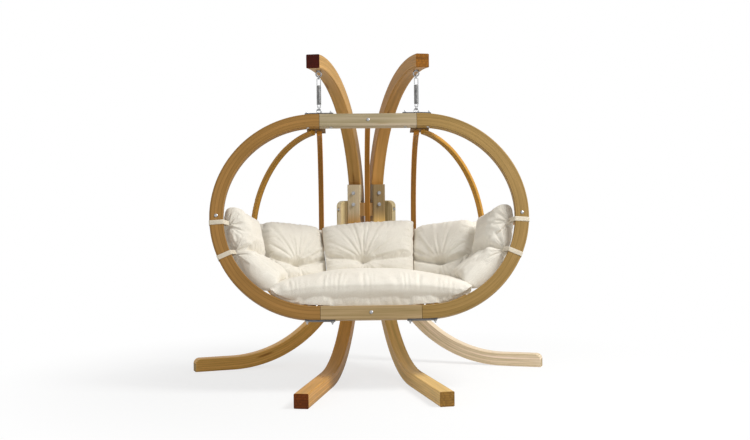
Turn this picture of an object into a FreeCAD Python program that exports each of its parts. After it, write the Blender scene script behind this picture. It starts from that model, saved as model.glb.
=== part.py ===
import FreeCAD, Part
import math
import os
import re
from FreeCAD import Matrix, Placement, Rotation, Vector

# A double hanging chair: a long ring with hoops behind it, hung on two springs from a bent-wood stand.
# Millimetres, +Z up, -Y to the front, origin on the floor under the middle of the whole piece.
# Everything is first built about the eye line, the sideways line through the two eyes under the
# stand's arms, and moved to the origin at the end.
doc = FreeCAD.newDocument("DoubleHangingChair")

# Driving dimensions, in millimetres and degrees.
DRIVING = {
    # stand
    "beam_width": 76,
    "beam_round": 6,
    "mould_radius": 885,
    "bend_overlap": 25,
    "arm_splay_angle": 16.2,
    "arm_foot_length": 36,
    "lap_distance": 716,
    "lap_half_spacing": 64,
    "lap_housing": 4,
    "leg_splay_angle": 11.2,
    "board_length": 175,
    "leg_floor_run": 618,
    "side_mould_radius": 720,
    "side_sweep_angle": 18.6,
    "side_post_rise": 53,
    "side_floor_run": 229,
    "side_post_offset": 136,
    "side_post_setback": 13,
    "side_end_round": 34,
    "spacer_height": 80,
    "spacer_drop": 39,
    # stand fasteners
    "lap_bolt_radius": 5,
    "lap_bolt_high_drop": 52,
    "lap_bolt_low_drop": 122,
    "lap_bolt_tail": 16,
    "rod_radius": 6,
    "rod_drop": 154,
    "rod_setback": 26,
    "rod_seat_offset": 162,
    "rod_tail": 6,
    "washer_thickness": 2.5,
    "washer_margin": 6,
    "nut_height": 8,
    "nut_margin": 4.5,
    "bolt_head_height": 6.5,
    "hole_clearance": 0.5,
    "thread_clearance": 0.1,
    # hanging gear
    "eye_wire": 4,
    "arm_eye_radius": 15,
    "arm_eye_collar": 4,
    "arm_eye_shank": 5,
    "arm_eye_seat": 3,
    "chair_eye_radius": 12,
    "link_wire": 3,
    "link_straight": 5,
    "link_play": 0.5,
    "spring_wire": 2.25,
    "spring_radius": 10.75,
    "spring_turns": 25,
    "spring_top_loop": 10,
    "spring_top_neck": 28,
    "spring_low_loop": 8,
    "spring_low_neck": 8,
    "spring_play": 0.3,
    # chair frame
    "chair_tilt": 17.2,
    "ring_radius": 580,
    "ring_width": 75,
    "ring_depth": 45,
    "ring_tail": 18,
    "ring_round": 5,
    "bar_length": 544,
    "plate_length": 160,
    "plate_width": 40,
    "plate_thickness": 5,
    "plate_bolt_spacing": 130,
    "plate_bolt_radius": 4,
    "plate_bolt_tail": 9,
    "bracket_tab": 62,
    "bracket_width": 104,
    "bracket_lead": 35,
    "bracket_flange": 45,
    "bracket_screw_inset": 20,
    "bracket_screw_grip": 20,
    "hoop_width": 30,
    "hoop_thickness": 24,
    "hoop_round": 4,
    "hoop_start": 48,
    "hoop_screw_inset": 14,
    "hoop_screw_radius": 2.5,
    "hoop_azimuth": 45,
    "crossing_screw": 38,
    "waist_lead": 8,
    "crossing_play": 0.6,
    "frame_bolt_radius": 4,
    "frame_bolt_grip": 42,
    "barrel_nut_radius": 6,
    "dome_height": 5,
    "dome_margin": 6,
    # soft pieces
    "seat_length": 1080,
    "seat_depth": 500,
    "seat_height": 150,
    "seat_front": 6,
    "seat_pitch_angle": 16.2,
    "back_height": 357,
    "back_lean_angle": 14,
    "back_base": 263,
    "back_reach": 252,
    "back_middle_width": 524,
    "corner_width": 290,
    "corner_azimuth": 66,
    "corner_reach": 254,
    "corner_base": 270,
    "side_cushion_width": 250,
    "side_cushion_inner": 392,
    "side_cushion_rear": 312,
    "side_cushion_high_angle": 8,
    "side_cushion_low_angle": 50,
    "cushion_play": 0.5,
    "cushion_round": 38,
    "strap_width": 25,
    "strap_thickness": 1.6,
    "strap_play": 0.3,
    "strap_high_angle": 4,
    "strap_low_angle": 24,
}

sheet = doc.addObject("Spreadsheet::Sheet", "Sizes")
for row, (alias, number) in enumerate(DRIVING.items(), 1):
    sheet.set(f"A{row}", alias.replace("_", " "))
    sheet.set(f"B{row}", str(number))
    sheet.setAlias(f"B{row}", alias)
doc.recompute()

X, Y, Z = Vector(1, 0, 0), Vector(0, 1, 0), Vector(0, 0, 1)
SIDES = {"left": -1, "right": 1}
parts = []


def size(alias):
    """The number in a named cell."""
    return float(sheet.get(alias))


def formula(text):
    """An expression in which every name with an underscore is a cell of the sheet."""
    return re.sub(r"\b[a-z]+(?:_[a-z]+)+\b", lambda name: "Sizes." + name.group(0), text)


def frame(origin, x_axis, y_axis):
    """A placement from an origin and the directions of its own X and Y axes."""
    z_axis = x_axis.cross(y_axis)
    return Placement(Matrix(x_axis.x, y_axis.x, z_axis.x, origin.x,
                            x_axis.y, y_axis.y, z_axis.y, origin.y,
                            x_axis.z, y_axis.z, z_axis.z, origin.z,
                            0, 0, 0, 1))


def along(origin, direction):
    """A placement whose own Z axis points along a direction."""
    return Placement(origin, Rotation(Z, direction))


def at(x=0.0, y=0.0, z=0.0, turn=0.0, axis=Z):
    """A placement by a shift and one turn in degrees."""
    return Placement(Vector(x, y, z), Rotation(axis, turn))


def primitive(kind, name, place, **sizes):
    """A Part primitive whose sizes are expressions on the sheet."""
    solid = doc.addObject("Part::" + kind, name)
    for prop, text in sizes.items():
        solid.setExpression(prop, formula(text))
    solid.Placement = place
    return solid


def fuse(name, *pieces):
    """One solid from several that touch."""
    joined = doc.addObject("Part::MultiFuse", name)
    joined.Shapes = list(pieces)
    joined.Refine = True
    return joined


def group(name, *pieces):
    """Several separate solids in one object."""
    together = doc.addObject("Part::Compound", name)
    together.Links = list(pieces)
    return together


def cut(name, base, tool):
    """The base without the tool."""
    rest = doc.addObject("Part::Cut", name)
    rest.Base = base
    rest.Tool = tool
    rest.Refine = True
    return rest


def common(name, base, tool):
    """What the base and the tool share."""
    shared = doc.addObject("Part::Common", name)
    shared.Base = base
    shared.Tool = tool
    shared.Refine = True
    return shared


def rounded(name, base, radius, chosen):
    """The base with a radius on every edge that the chosen test accepts."""
    doc.recompute()
    edges = [number for number, edge in enumerate(base.Shape.Edges, 1) if chosen(edge)]
    soft = doc.addObject("Part::Fillet", name)
    soft.Base = base
    soft.Edges = [(number, radius, radius) for number in edges]
    return soft


def long_edges(normal, half_width, across):
    """A test for the long edges of a flat-sided piece: not those across its ends."""
    def test(edge):
        first, last = edge.ParameterRange
        heights = [edge.valueAt(first + (last - first) * share).dot(normal)
                   for share in (0.0, 0.31, 0.5, 0.77, 1.0)]
        on_side = all(abs(abs(height) - half_width) < 0.01 for height in heights)
        return on_side and abs(edge.Length - across) > 0.01
    return test


def part(label, solid, place=None):
    """Registers a finished sub-part under the name of its file."""
    solid.Label = label
    if place is not None:
        solid.Placement = place
    parts.append(solid)
    return solid


# Values worked out from the driving dimensions.
beam_half = size("beam_width") / 2
ring_inner = size("ring_radius") - size("ring_width")
ring_middle = size("ring_radius") - size("ring_width") / 2
ring_half_depth = size("ring_depth") / 2
seam = size("bar_length") / 2
ring_centre = seam + size("ring_tail")
hang_offset = seam


# Stand: directions of the beams in plan.
def forward(side, splay):
    """The way a splayed beam points to the front."""
    turn = math.radians(splay)
    return Vector(side * math.sin(turn), -math.cos(turn), 0)


def outward(side, splay):
    """Square to a splayed beam, away from the middle."""
    turn = math.radians(splay)
    return Vector(side * math.cos(turn), math.sin(turn), 0)


def lap_point(side):
    """The middle of the face where an arm laps a front leg, on the floor."""
    return Vector(side * size("lap_half_spacing"), size("lap_distance"), 0)


def beam(name, radius, centre, sector_turn, *straights):
    """A square beam bent a quarter turn, with straight lengths, drawn in (reach, height)."""
    low = centre + Vector(0, 0, -beam_half)
    outer = primitive("Cylinder", name + "_outside", Placement(low, Rotation(Z, sector_turn)),
                      Radius=radius + " + beam_width / 2", Height="beam_width", Angle="90")
    inner = primitive("Cylinder", name + "_inside", Placement(low, Rotation()),
                      Radius=radius + " - beam_width / 2", Height="beam_width")
    return fuse(name + "_bent", cut(name + "_bend", outer, inner), *straights)


def straight(name, reach, height, length, tall):
    """A straight length of beam from its low corner, along the reach or upright."""
    return primitive("Box", name, at(reach, height, -beam_half),
                     Length=length, Width=tall, Height="beam_width")


def soft_beam(name, raw):
    """The four long corners of a beam taken off to a radius."""
    return rounded(name, raw, size("beam_round"), long_edges(Z, beam_half, size("beam_width")))


def drill(name, place, radius, length):
    """A long drill along the Z axis of a placement, centred on its origin."""
    back = Vector(0, 0, -length / 2)
    shifted = Placement(place.multVec(back), place.Rotation)
    tool = primitive("Cylinder", name, shifted, Radius=radius)
    tool.Height = length
    return tool


leg_centre_height = beam_half + size("mould_radius")
leg_top_height = leg_centre_height + size("board_length")
arm_centre_height = leg_centre_height - size("bend_overlap")
arm_foot_height = arm_centre_height - size("arm_foot_length")
rod_height = leg_top_height - size("rod_drop")
side_top_height = rod_height + size("side_post_rise")
side_centre_height = beam_half + size("side_mould_radius")
arm_bend_reach = size("mould_radius") - beam_half + size("lap_housing")
hang_reach = size("lap_distance") / math.cos(math.radians(size("arm_splay_angle")))
hang_drop = arm_bend_reach - hang_reach
arm_inside_radius = size("mould_radius") - beam_half
arm_outside_radius = size("mould_radius") + beam_half
eye_seat_height = (arm_centre_height + math.sqrt(arm_inside_radius ** 2 - hang_drop ** 2)
                   + size("arm_eye_seat"))
arm_top_height = (arm_centre_height + math.sqrt(arm_outside_radius ** 2 - hang_drop ** 2)
                  - size("arm_eye_seat"))
rod_y = size("lap_distance") - size("rod_setback")
long_drill = 4 * size("beam_width")


def lap_bolt_line(side, height):
    """The line of a lap bolt: from the front face of a leg to the back of an arm."""
    way = forward(side, size("leg_splay_angle"))
    return lap_point(side) + Vector(0, 0, height), way


def leg_frame(side):
    """The plane of a front leg: reach to the front, height, and sideways."""
    return frame(lap_point(side), forward(side, size("leg_splay_angle")), Z)


def arm_frame(side):
    """The plane of an arm."""
    return frame(lap_point(side), forward(side, size("arm_splay_angle")), Z)


def side_frame(side):
    """The plane of a side leg: reach outwards and a little to the front."""
    sweep = math.radians(size("side_sweep_angle"))
    way = Vector(side * math.cos(sweep), -math.sin(sweep), 0)
    foot = Vector(side * size("side_post_offset"), size("lap_distance") - size("side_post_setback"), 0)
    return frame(foot, way, Z)


def lap_holes(name, side):
    """Drills for the two lap bolts of one side."""
    drills = []
    for level in ("high", "low"):
        point, way = lap_bolt_line(side, leg_top_height - size(f"lap_bolt_{level}_drop"))
        drills.append(drill(f"{name}_{level}", along(point, way), "lap_bolt_radius + hole_clearance",
                            long_drill))
    return drills


def rod_hole(name):
    """A drill for the tie rod across the whole stand."""
    middle = Vector(0, rod_y, rod_height)
    return drill(name, along(middle, X), "rod_radius + hole_clearance", 2 * long_drill)


def make_front_leg(word, side):
    """A front leg: upright board, quarter bend and a straight run on the floor."""
    name = word + "_front_leg"
    centre = Vector(beam_half + size("mould_radius"), leg_centre_height, 0)
    board = straight(name + "_board", 0, leg_centre_height, "beam_width", "board_length")
    run = straight(name + "_run", centre.x, 0, "leg_floor_run", "beam_width")
    wood = soft_beam(name + "_wood", beam(name, "mould_radius", centre, 180, board, run))
    wood.Placement = leg_frame(side)
    holes = fuse(name + "_holes", *lap_holes(name + "_hole", side), rod_hole(name + "_rod_hole"))
    part(name, cut(name + "_drilled", wood, holes))


def make_arm(word, side):
    """An arm: short foot lapped behind the front leg, and a quarter bend to the front."""
    name = word + "_arm"
    centre = Vector(arm_bend_reach, arm_centre_height, 0)
    foot = straight(name + "_foot", arm_bend_reach - size("mould_radius") - beam_half,
                    arm_foot_height, "beam_width", "arm_foot_length")
    wood = soft_beam(name + "_wood", beam(name, "mould_radius", centre, 90, foot))
    wood.Placement = arm_frame(side)
    planed = primitive("Box", name + "_lap", Placement(), Length="beam_width",
                       Height="3 * beam_width",
                       Width="board_length + bend_overlap + arm_foot_length + beam_width")
    corner = Vector(0, arm_foot_height - size("beam_width"), -3 * beam_half)
    planed.Placement = leg_frame(side).multiply(Placement(corner, Rotation()))
    hook = Vector(side * hang_offset, 0, eye_seat_height)
    spot = primitive("Cylinder", name + "_spot", at(hook.x, 0, hook.z - size("beam_width")),
                     Radius="arm_eye_shank + nut_margin + washer_margin", Height="beam_width")
    shank = drill(name + "_eye_hole", along(hook, Z), "arm_eye_shank + hole_clearance", long_drill)
    recess = primitive("Cylinder", name + "_recess", at(hook.x, 0, arm_top_height),
                       Radius="arm_eye_shank + nut_margin + washer_margin", Height="beam_width")
    tools = fuse(name + "_tools", planed, spot, shank, recess, *lap_holes(name + "_hole", side))
    part(name, cut(name + "_planed", wood, tools))


def make_side_leg(word, side):
    """A side leg: short post against the front leg's side, quarter bend and floor run."""
    name = word + "_side_leg"
    centre = Vector(size("side_mould_radius"), side_centre_height, 0)
    post = straight(name + "_post", -beam_half, side_centre_height, "beam_width",
                    "mould_radius + board_length - rod_drop + side_post_rise - side_mould_radius")
    run = straight(name + "_run", centre.x, 0, "side_floor_run", "beam_width")
    raw = beam(name, "side_mould_radius", centre, 180, post, run)
    tip_reach = size("side_mould_radius") + size("side_floor_run")

    def end_corner(edge):
        """The top corner of the foot and the outer top corner of the post."""
        middle = edge.CenterOfMass
        foot = abs(middle.x - tip_reach) < 0.01 and abs(middle.y - size("beam_width")) < 0.01
        head = (abs(middle.x - beam_half) < 0.01
                and abs(middle.y - side_top_height) < 0.01)
        return (foot or head) and abs(middle.z) < 0.01

    wood = soft_beam(name + "_wood", rounded(name + "_ends", raw, size("side_end_round"), end_corner))
    wood.Placement = side_frame(side)
    house = primitive("Box", name + "_house", Placement(), Length="4 * beam_width",
                      Width="2 * (mould_radius + board_length)", Height="4 * beam_width")
    inner_side = lap_point(side) + outward(side, size("leg_splay_angle")) * beam_half
    turned = frame(inner_side, forward(side, size("leg_splay_angle")), Z)
    depth = -4 * size("beam_width") if turned.Rotation.multVec(Z).x * side > 0 else 0.0
    house.Placement = turned.multiply(at(-2 * size("beam_width"), 0, depth))
    seat = primitive("Cylinder", name + "_seat", along(Vector(side * size("rod_seat_offset"), rod_y,
                                                              rod_height), X * side),
                     Radius="rod_radius + nut_margin + washer_margin", Height="beam_width")
    tools = fuse(name + "_tools", house, seat, rod_hole(name + "_rod_hole"))
    part(name, cut(name + "_fitted", wood, tools))


def make_spacer():
    """The wedge between the two front legs, which sets their splay."""
    splay = math.radians(size("leg_splay_angle"))

    def half_gap(reach):
        return (size("lap_half_spacing") + reach * math.sin(splay) - beam_half * math.cos(splay))

    front = size("beam_width") * 0.9
    back_y = size("lap_distance") - beam_half * math.sin(splay)
    wedge = doc.addObject("Part::Wedge", "spacer_wedge")
    wedge.Xmin, wedge.Xmax = -half_gap(front), half_gap(front)
    wedge.X2min, wedge.X2max = -half_gap(0), half_gap(0)
    wedge.Ymin, wedge.Ymax = 0, front * math.cos(splay)
    wedge.setExpression("Zmax", formula("spacer_height"))
    wedge.setExpression("Z2max", formula("spacer_height"))
    wedge.Zmin = wedge.Z2min = 0
    wedge.Placement = at(0, back_y - front * math.cos(splay), rod_height - size("spacer_drop"))
    part("spine_spacer", cut("spacer_drilled", wedge, rod_hole("spacer_rod_hole")))


# Fasteners, each drawn with its seat at the origin and its length along +Z or -Z.
def hex_bolt(name, place, radius, length):
    """A hexagon head above the seat and a shank below it."""
    head = primitive("Prism", name + "_head", Placement(), Height="bolt_head_height",
                     Circumradius=radius + " + nut_margin")
    head.Polygon = 6
    shank = primitive("Cylinder", name + "_shank", at(0, 0, -length), Radius=radius)
    shank.Height = length
    bolt = fuse(name, head, shank)
    bolt.Placement = place
    return bolt


def dome_bolt(name, place, radius, length, margin="dome_margin"):
    """A low domed head above the seat and a shank below it."""
    head = primitive("Ellipsoid", name + "_dome", Placement(), Radius1="dome_height",
                     Radius2=f"{radius} + {margin}", Radius3=f"{radius} + {margin}")
    head.Angle1 = 0
    shank = primitive("Cylinder", name + "_shank", at(0, 0, -length), Radius=radius)
    shank.Height = length
    bolt = fuse(name, head, shank)
    bolt.Placement = place
    return bolt


def washer(name, place, radius):
    """A washer that stands on the seat."""
    disc = primitive("Cylinder", name + "_disc", Placement(), Height="washer_thickness",
                     Radius=f"{radius} + washer_margin")
    hole = primitive("Cylinder", name + "_hole", Placement(), Height="washer_thickness",
                     Radius=f"{radius} + thread_clearance")
    ring = cut(name, disc, hole)
    ring.Placement = place
    return ring


def nut(name, place, radius):
    """A hexagon nut that stands on the seat."""
    block = primitive("Prism", name + "_block", Placement(), Height="nut_height",
                      Circumradius=f"{radius} + nut_margin")
    block.Polygon = 6
    hole = primitive("Cylinder", name + "_hole", Placement(), Height="nut_height",
                     Radius=f"{radius} + thread_clearance")
    ring = cut(name, block, hole)
    ring.Placement = place
    return ring


def lifted(place, height):
    """The same placement moved along its own Z axis."""
    return Placement(place.multVec(Vector(0, 0, height)), place.Rotation)


def make_stand_fasteners():
    """Lap bolts, the tie rod, and the washers and nuts of the stand."""
    bolts, washers, nuts = [], [], []
    thick = size("washer_thickness")
    for word, side in SIDES.items():
        for level in ("high", "low"):
            name = f"{word}_lap_{level}"
            point, way = lap_bolt_line(side, leg_top_height - size(f"lap_bolt_{level}_drop"))
            front = along(point + way * size("beam_width"), way)
            arm_way = forward(side, size("arm_splay_angle"))
            depth = (size("beam_width") - size("lap_housing")) / arm_way.dot(way)
            back = along(point - way * depth, way * -1)
            grip = size("beam_width") + depth + thick + size("lap_bolt_tail")
            bolts.append(hex_bolt(name + "_bolt", lifted(front, thick), "lap_bolt_radius", grip))
            washers.append(washer(name + "_front_washer", front, "lap_bolt_radius"))
            nuts.append(nut(name + "_nut", lifted(back, thick / 2), "lap_bolt_radius"))
        end = along(Vector(side * size("rod_seat_offset"), rod_y, rod_height), X * side)
        washers.append(washer(word + "_rod_washer", end, "rod_radius"))
        nuts.append(nut(word + "_rod_nut", lifted(end, thick), "rod_radius"))
        top = at(side * hang_offset, 0, arm_top_height)
        washers.append(washer(word + "_eye_washer", top, "arm_eye_shank"))
        nuts.append(nut(word + "_eye_nut", lifted(top, thick), "arm_eye_shank"))
    part("lap_bolts", group("lap_bolt_group", *bolts))
    part("stand_washers", group("stand_washer_group", *washers))
    part("stand_nuts", group("stand_nut_group", *nuts))
    half = size("rod_seat_offset") + thick + size("nut_height") + size("rod_tail")
    rod = primitive("Cylinder", "tie_rod_bar", along(Vector(-half, rod_y, rod_height), X),
                    Radius="rod_radius",
                    Height="2 * (rod_seat_offset + washer_thickness + nut_height + rod_tail)")
    part("tie_rod", rod)


# Hanging gear: heights of the hinge lines, from the arms down to the chair.
link_bend = size("eye_wire") + size("link_play") + size("link_wire")
arm_eye_centre = eye_seat_height - size("arm_eye_radius") - size("eye_wire") - size("arm_eye_collar") / 2
swing_height = arm_eye_centre - size("arm_eye_radius")
sway_height = swing_height - size("link_straight") - link_bend
loop_lift = size("link_wire") + size("spring_wire") + size("spring_play")
top_loop_height = sway_height + loop_lift - size("spring_top_loop")
coil_top = top_loop_height - size("spring_top_neck")
coil_length = size("spring_turns") * 2 * size("spring_wire")
coil_bottom = coil_top - coil_length
low_loop_height = coil_bottom - size("spring_low_neck")
level_height = low_loop_height - size("spring_low_loop") + loop_lift
pivot_height = level_height - size("link_straight") - link_bend
plate_top = size("ring_radius") + size("plate_thickness")
chair_eye_centre = plate_top + size("chair_eye_radius") + size("eye_wire")
pivot_lift = chair_eye_centre + size("chair_eye_radius")
tilt = math.radians(size("chair_tilt"))
CHAIR = Placement(Vector(0, -pivot_lift * math.sin(tilt), pivot_height - pivot_lift * math.cos(tilt)),
                  Rotation(X, -size("chair_tilt")))


def torus(name, place, radius, wire, sweep=360):
    """A ring of round wire in the XY plane of its placement, over a sweep from its own X axis."""
    ring = primitive("Torus", name, place, Radius1=radius, Radius2=wire)
    ring.Angle3 = sweep
    return ring


def make_arm_eye(word, side):
    """The eye bolt under an arm."""
    name = word + "_arm_eye_bolt"
    facing = frame(Vector(side * hang_offset, 0, arm_eye_centre), X, Z)
    ring = torus(name + "_ring", facing, "arm_eye_radius", "eye_wire")
    collar = primitive("Cylinder", name + "_collar",
                       at(side * hang_offset, 0, eye_seat_height - size("arm_eye_collar")),
                       Radius="arm_eye_shank + washer_margin", Height="arm_eye_collar")
    reach = (arm_top_height - eye_seat_height + size("washer_thickness") + size("nut_height")
             + size("rod_tail"))
    shank = primitive("Cylinder", name + "_shank", at(side * hang_offset, 0, eye_seat_height),
                      Radius="arm_eye_shank")
    shank.Height = reach
    part(name, fuse(name + "_forged", ring, collar, shank))


def make_link(label, side, top, bottom):
    """An oval link seen edge-on from the front, its wire centres at two heights."""
    x = side * hang_offset
    upper = torus(label + "_upper", frame(Vector(x, 0, top), Y, Z), "eye_wire + link_play + link_wire",
                  "link_wire", 180)
    lower = torus(label + "_lower", frame(Vector(x, 0, bottom), Y, Z * -1),
                  "eye_wire + link_play + link_wire", "link_wire", 180)
    bars = []
    for end, y in (("front", -link_bend), ("back", link_bend)):
        bar = primitive("Cylinder", f"{label}_{end}", at(x, y, bottom), Radius="link_wire",
                        Height="link_straight")
        bars.append(bar)
    part(label, fuse(label + "_welded", upper, lower, *bars))


def make_loop(label, side, bend_height, way, radius, neck):
    """An open loop of spring wire that faces the front: a half turn and two straight legs."""
    x = side * hang_offset
    bend = torus(label + "_bend", frame(Vector(x, 0, bend_height), X, Z * way), radius, "spring_wire", 180)
    legs = []
    offset = size(radius)
    for end, shift in (("near", -offset), ("far", offset)):
        leg = primitive("Cylinder", f"{label}_{end}", along(Vector(x + shift, 0, bend_height), Z * -way),
                        Radius="spring_wire", Height=neck)
        legs.append(leg)
    part(label, fuse(label + "_formed", bend, *legs))


def make_coil(label, side):
    """The closed coil: a stack of touching turns, drawn as one turned profile."""
    wire, middle = size("spring_wire"), size("spring_radius")
    edges = []
    turns = int(size("spring_turns"))
    for turn in range(turns):
        low = Vector(middle, 0, coil_bottom + 2 * wire * turn)
        bulge = low + Vector(wire, 0, wire)
        high = low + Vector(0, 0, 2 * wire)
        edges.append(Part.Arc(low, bulge, high).toShape())
    bottom, top = Vector(middle, 0, coil_bottom), Vector(middle, 0, coil_top)
    bore = Vector(middle - wire, 0, 0)
    inner_top, inner_bottom = Vector(bore.x, 0, coil_top), Vector(bore.x, 0, coil_bottom)
    for start, end in ((top, inner_top), (inner_top, inner_bottom), (inner_bottom, bottom)):
        edges.append(Part.LineSegment(start, end).toShape())
    face = Part.Face(Part.Wire(Part.__sortEdges__(edges)))
    coil = doc.addObject("Part::Feature", label + "_turned")
    coil.Shape = face.revolve(Vector(), Z, 360)
    part(label, coil, at(side * hang_offset))


def make_hanging_gear(word, side):
    """Everything between an arm and the chair on one side."""
    make_arm_eye(word, side)
    make_link(word + "_upper_link", side, swing_height, swing_height - size("link_straight"))
    make_loop(word + "_spring_top_loop", side, top_loop_height, 1, "spring_top_loop", "spring_top_neck")
    make_coil(word + "_spring_coil", side)
    make_loop(word + "_spring_bottom_loop", side, low_loop_height, -1, "spring_low_loop",
              "spring_low_neck")
    make_link(word + "_lower_link", side, pivot_height + size("link_straight"), pivot_height)


# Chair frame, in the chair's own axes: X along the bars, Y to the back, Z up in the ring's plane.
def ring_sector(name, outer, inner, depth, x, start, sweep):
    """Part of a flat ring in the XZ plane, from a start angle above the X axis."""
    turned = Placement(Vector(x, 0, 0), Rotation(X, 90)).multiply(at(turn=start))
    half = size(depth) / 2
    back = Placement(turned.multVec(Vector(0, 0, -half)), turned.Rotation)
    disc = primitive("Cylinder", name + "_disc", back, Radius=outer, Height=depth)
    disc.Angle = sweep
    hole = primitive("Cylinder", name + "_hole", back, Radius=inner, Height=depth)
    return cut(name, disc, hole)


def seam_bolt_line(side, way, end):
    """A seam bolt's start and direction: upright in the bar, or square to the bend of the ring."""
    if end == "bar":
        return Vector(side * (seam - size("plate_bolt_spacing") / 2), 0, 0), Z * way
    turn = (size("plate_bolt_spacing") / 2 - size("ring_tail")) / ring_middle
    return Vector(side * ring_centre, 0, 0), Vector(side * math.sin(turn), 0, way * math.cos(turn))


def seam_drills(name, side, way, ends=("bar", "ring")):
    """Drills for the bolts of one seam plate."""
    drills = []
    for end in ends:
        start, direction = seam_bolt_line(side, way, end)
        drills.append(drill(f"{name}_{end}_drill", along(start + direction * ring_middle, direction),
                            "plate_bolt_radius + hole_clearance", 2 * size("ring_width")))
    return drills


def bracket_screw_line(side, way, end):
    """The seat of a screw that holds a hoop bracket to the back of the ring, looking backwards."""
    inset = size("bracket_screw_inset")
    lead = inset if end == "bar" else size("bracket_width") - inset
    return along(Vector(side * (seam - size("bracket_lead") + lead),
                        ring_half_depth + size("plate_thickness"),
                        way * (ring_inner + size("bracket_flange") / 2)), Y)


def bracket_drill(name, side, way, end):
    """A drill for a bracket screw, through the flange and into the wood."""
    depth = size("plate_thickness") + size("bracket_screw_grip") + size("thread_clearance")
    return drill(f"{name}_{end}_bracket_hole", bracket_screw_line(side, way, end),
                 "hoop_screw_radius + thread_clearance", 2 * depth)


def hoop_screw_line(side, azimuth, way):
    """The seat of a hoop's end screw, sunk in the hoop, and its direction into the bracket."""
    reach = size("hoop_start") + size("hoop_screw_inset")
    height = hoop_half_height - size("hoop_thickness") / 2 + size("dome_height")
    return hoop_plane(side * seam, side, azimuth).multVec(Vector(reach, way * height, 0)), Z * way


def frame_bolt_drill(name, x, z):
    """A drill for a bolt from the front face into a hoop's end."""
    return drill(name, along(Vector(x, 0, z), Y), "frame_bolt_radius + hole_clearance",
                 2 * size("ring_depth"))


def soft_frame(name, raw):
    """The front and back corners of a frame piece taken off to a radius."""
    return rounded(name, raw, size("ring_round"), long_edges(Y, ring_half_depth, size("ring_width")))


def make_half_ring(word, side):
    """One round end of the ring, laminated, with short straight tails to the seams."""
    name = word + "_half_ring"
    start = 90 if side < 0 else -90
    bend = ring_sector(name + "_bend", "ring_radius", "ring_radius - ring_width", "ring_depth",
                       side * ring_centre, start, 180)
    tails = []
    for end, low in (("top", ring_inner), ("bottom", -size("ring_radius"))):
        x = seam if side > 0 else -ring_centre
        tail = primitive("Box", f"{name}_{end}_tail", at(x, -ring_half_depth, low),
                         Length="ring_tail", Width="ring_depth", Height="ring_width")
        tails.append(tail)
    wood = soft_frame(name + "_wood", fuse(name + "_raw", bend, *tails))
    drills = [frame_bolt_drill(name + "_waist_hole", side * (ring_centre + ring_middle), 0)]
    for level, way in (("top", 1), ("bottom", -1)):
        drills += seam_drills(f"{name}_{level}", side, way, ("ring",))
        drills.append(bracket_drill(f"{name}_{level}", side, way, "ring"))
    holes = fuse(name + "_holes", *drills)
    part(name, cut(name + "_drilled", wood, holes), CHAIR)


def make_bar(word, way):
    """The straight middle of the ring, above or below."""
    name = word + "_bar"
    low = ring_inner if way > 0 else -size("ring_radius")
    raw = primitive("Box", name + "_raw", at(-seam, -ring_half_depth, low),
                    Length="bar_length", Width="ring_depth", Height="ring_width")
    wood = soft_frame(name + "_wood", raw)
    drills = [frame_bolt_drill(name + "_hoop_hole", 0, way * ring_middle)]
    for side_word, side in SIDES.items():
        drills += seam_drills(f"{name}_{side_word}", side, way, ("bar",))
        drills.append(bracket_drill(f"{name}_{side_word}", side, way, "bar"))
    part(name, cut(name + "_drilled", wood, fuse(name + "_holes", *drills)), CHAIR)


def curved_plate(name, side, way):
    """A steel strip over a seam: straight along the bar, bent to the ring beyond its tail."""
    half_length = size("plate_length") / 2
    bend_reach = half_length - size("ring_tail")
    sweep = math.degrees(math.asin(bend_reach / size("ring_radius")))
    start = {(-1, 1): 90, (1, 1): 90 - sweep, (-1, -1): 270 - sweep, (1, -1): 270}[(side, way)]
    bend = ring_sector(name + "_bend", "ring_radius + plate_thickness", "ring_radius", "plate_width",
                       side * ring_centre, start, sweep)
    x = seam - half_length if side > 0 else -ring_centre
    low = size("ring_radius") if way > 0 else -plate_top
    flat = primitive("Box", name + "_flat", at(x, -size("plate_width") / 2, low),
                     Length="plate_length / 2 + ring_tail", Width="plate_width", Height="plate_thickness")
    return fuse(name + "_strip", bend, flat)


def make_seam_steel(word, side):
    """Outer plates, hoop brackets behind the ring and the eye of one side."""
    thick = size("plate_thickness")
    tab_x = seam - size("bracket_lead")
    if side < 0:
        tab_x = -tab_x - size("bracket_width")
    for level, way in (("top", 1), ("bottom", -1)):
        name = f"{word}_{level}_plate"
        part(name, cut(name + "_drilled", curved_plate(name, side, way),
                       fuse(name + "_holes", *seam_drills(name, side, way))), CHAIR)
        name = f"{word}_{level}_bracket"
        low = ring_inner - thick if way > 0 else -ring_inner
        tab = primitive("Box", name + "_tab", at(tab_x, ring_half_depth, low),
                        Length="bracket_width", Width="bracket_tab", Height="plate_thickness")
        foot = low if way > 0 else low + thick - size("bracket_flange")
        flange = primitive("Box", name + "_flange", at(tab_x, ring_half_depth, foot),
                           Length="bracket_width", Width="plate_thickness", Height="bracket_flange")
        drills = [bracket_drill(name, side, way, end) for end in ("bar", "ring")]
        for azimuth in (size("hoop_azimuth"), 90):
            seat, direction = hoop_screw_line(side, azimuth, way)
            drills.append(drill(f"{name}_screw_hole_{len(drills)}", along(seat, direction),
                                "hoop_screw_radius + thread_clearance", 4 * size("hoop_thickness")))
        part(name, cut(name + "_drilled", fuse(name + "_plate", tab, flange),
                       fuse(name + "_holes", *drills)), CHAIR)
    name = word + "_chair_eye"
    ring = torus(name + "_ring", frame(Vector(side * seam, 0, chair_eye_centre), X, Z),
                 "chair_eye_radius", "eye_wire")
    pad = primitive("Cylinder", name + "_pad", at(side * seam, 0, plate_top), Height="eye_wire",
                    Radius="chair_eye_radius")
    part(name, fuse(name + "_welded", ring, pad), CHAIR)


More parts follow.
